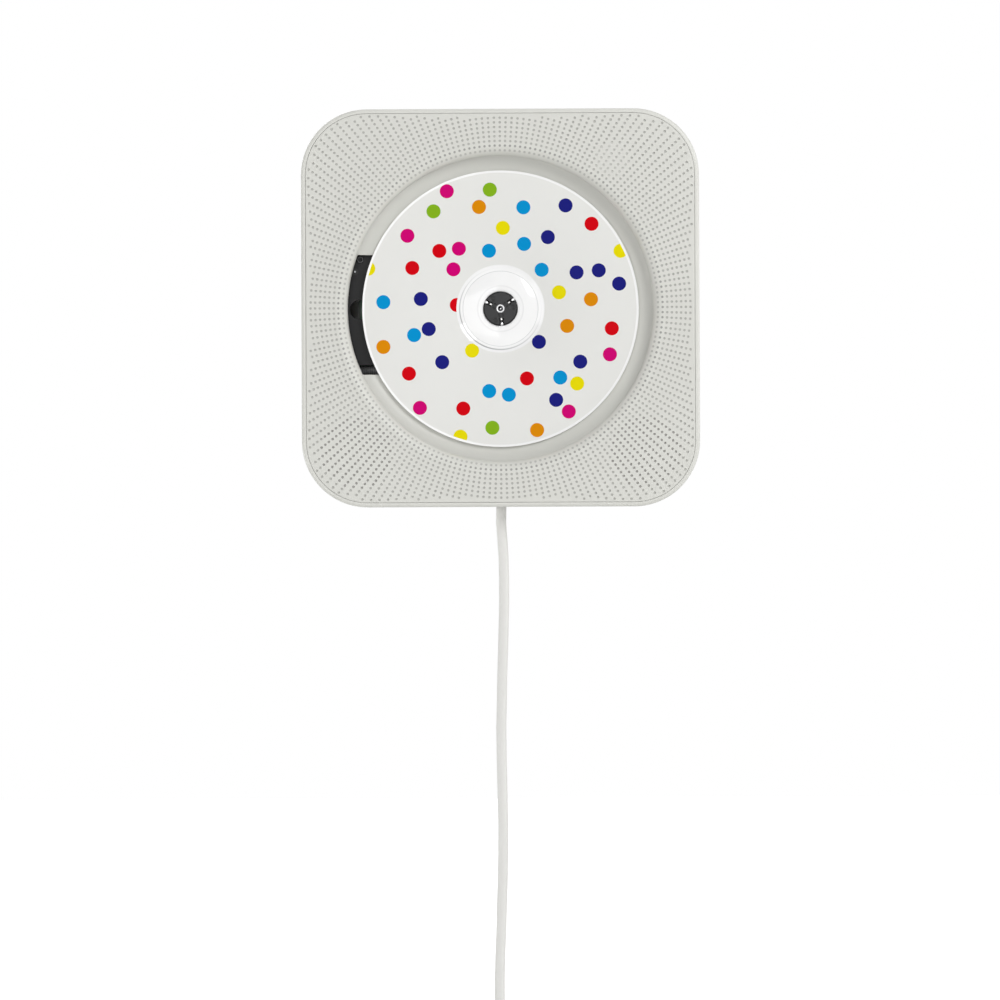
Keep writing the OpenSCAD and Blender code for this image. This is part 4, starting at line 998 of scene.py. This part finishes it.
def coil_points(per_turn):
    """A spiral that runs in and out at a steady rate, once for each layer.

    The radius follows a triangle wave of the turns. The layer climbs by one in the half turn
    round each reversal and is level between.
    """
    t = np.arange(TURNS * per_turn + 1) / per_turn
    radius = COIL_R + (COIL_OUT - COIL_R) * np.abs((t / LAYER_TURNS) % 2 - 1)
    k = np.floor(t / LAYER_TURNS + 0.5)
    part = np.clip((t - k * LAYER_TURNS) / 0.5, -0.5, 0.5)
    layer = np.where(k <= 0, 0, np.where(k >= LAYERS, LAYERS - 1, k - 0.5 + part))
    a = -2 * math.pi * t
    return np.stack([COIL_C[0] + radius * np.cos(a), COIL_C[1] + radius * np.sin(a),
                     CORD_Z - LAYER_PITCH * layer], 1)


lead = np.column_stack([LEAD, np.full(len(LEAD), CORD_Z)])
route = np.concatenate([
    lead, coil_points(48),
    [(0, COIL_C[1] - CORD_D, COIL_END_Z), (0, COIL_C[1] - TAIL, COIL_END_Z)]])
points, faces = tube(route, CORD_D / 2, 16)
cord = piece("mains_cord", points, faces, "pull", cord_white, "cord_white", 60)
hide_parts("cord_lead", "cord_coil")

# The other pieces: those in view as dressed copies, with the width of their soft edges, and
# those inside as they are

LOOKS = {
    "wall_bracket": (zinc, 0.0), "wall_pads": (rubber, 0.3), "rear_cover": (cover_white, 0.0),
    "cover_screws": (steel, 0.15), "mech_deck": (deck_black, 0.0), "deck_screws": (steel, 0.1),
    "platter": (inner_white, 0.15), "clamp_hub": (hub_black, 0.12),
    "spindle_shaft": (spindle_steel, 0.0), "detent_ball_a": (chrome, 0.0),
    "detent_ball_b": (chrome, 0.0), "detent_ball_c": (chrome, 0.0),
    "cord_bush": (shell, 0.3), "coil_tie": (rubber, 0.2),
    "plug": (cord_white, 0.5), "plug_blades": (brass, 0.25), "cord_anchor": (cord_white, 0.0),
    "display_window": (gloss_black, 0.1),
}
for key in BUTTON_X:
    LOOKS["button_" + key] = (shell, 0.2)
for node, (finish, bevel) in LOOKS.items():
    dressed(node, finish, bevel)

PLAIN = {
    "deck_grommets": rubber, "spindle_motor": zinc, "ball_springs": steel, "guide_rods": steel,
    "sled_motor": zinc, "feed_screw": screw_steel, "pickup_sled": black, "lens_holder": gloss_black,
    "objective_lens": chrome, "main_board": board, "power_board": board, "sensor_board": board,
    "button_board": board, "main_board_parts": chips, "power_board_parts": power_parts,
    "board_screws": steel, "remote_sensor": gloss_black, "speaker_frames": zinc,
    "speaker_cones": cone, "speaker_magnets": ferrite, "speaker_gaskets": rubber,
    "tact_switches": chips, "display_module": black, "switch_frame": inner_white,
    "cord_slider": inner_white, "pull_spring": steel, "pull_microswitch": black,
    "well_screws": steel, "speaker_cloths": cloth,
}
for node, finish in PLAIN.items():
    nodes[node].data.materials.clear()
    nodes[node].data.materials.append(finish.material)

# Light


def area_light(name, place, target, size, power):
    """A square lamp that faces its target."""
    data = bpy.data.lights.new(name, "AREA")
    data.size, data.energy = size, power
    lamp = linked(name, data)
    lamp.location = place
    way = np.array(target, float) - np.array(place, float)
    yaw = math.atan2(way[1], way[0])
    pitch = math.atan2(way[2], math.hypot(way[0], way[1]))
    lamp.rotation_euler = (pitch + math.radians(90), 0, yaw - math.radians(90))


area_light("key", (0.85, -1.6, 0.75), (0, 0, -0.05), 0.8, 13.4)
area_light("side", (1.3, -0.07, 0.25), (0, 0, 0), 0.5, 3.2)
area_light("top", (0.15, -0.07, 1.35), (0, 0, 0), 0.5, 1.5)
area_light("low", (-1.1, -0.03, -0.3), (0, -0.03, -0.05), 0.2, 2.2)
area_light("fill", (-0.5, -1.9, -0.1), (0, 0, -0.05), 1.0, 6.3)
area_light("back", (-0.6, 1.3, 0.6), (0, 0, -0.05), 1.0, 6)

world = bpy.data.worlds.new("studio")
bpy.context.scene.world = world
world.use_nodes = True
tree = world.node_tree
tree.nodes.clear()


def seen_rays(tree):
    """1 for the rays that see the backdrop: from the camera, a gloss or through glass."""
    rays = tree.nodes.new("ShaderNodeLightPath")
    camera_ray, glossy, through = [Value(tree, rays.outputs["Is %s Ray" % kind])
                                   for kind in ("Camera", "Glossy", "Transmission")]
    return camera_ray._math("MAXIMUM", camera_ray, glossy._math("MAXIMUM", glossy, through))


seen = seen_rays(tree)
both = tree.nodes.new("ShaderNodeMixShader")
tree.links.new(seen.socket, both.inputs[0])
# A soft light on the object, and white to look at
for k, strength in ((1, 0.38), (2, 1.0)):
    backdrop = tree.nodes.new("ShaderNodeBackground")
    backdrop.inputs["Color"].default_value = (1, 1, 1, 1)
    backdrop.inputs["Strength"].default_value = strength
    tree.links.new(backdrop.outputs[0], both.inputs[k])
tree.links.new(both.outputs[0], tree.nodes.new("ShaderNodeOutputWorld").inputs["Surface"])

floor = linked("floor", bpy.data.meshes.new("floor"))
floor.data.from_pydata([(x, y, -0.43) for x, y in ((-3, -3), (3, -3), (3, 3), (-3, 3))], [],
                       [(0, 1, 2, 3)])


def floor_finish():
    """Pale floor that the camera sees as white, more so away from the object and its shadow."""
    made = moulded("pale_floor", (0.82, 0.82, 0.81), 0.8, grain=0.02, per_mm=0.2, drift=0.01)
    x, y, _ = made.axes()
    far = ((x ** 2.0 + y ** 2.0).root() * 0.001).step(0.35, 1.1)
    glow = seen_rays(made.tree) * (far * 0.55 + 0.25)
    made.set(emission_color=made.node("CombineColor", None, {0: glow, 1: glow, 2: glow}))
    return made.set(emission_strength=1.0)


floor.data.materials.append(floor_finish().material)

bpy.context.scene.view_settings.view_transform = "Standard"
bpy.context.view_layer.update()
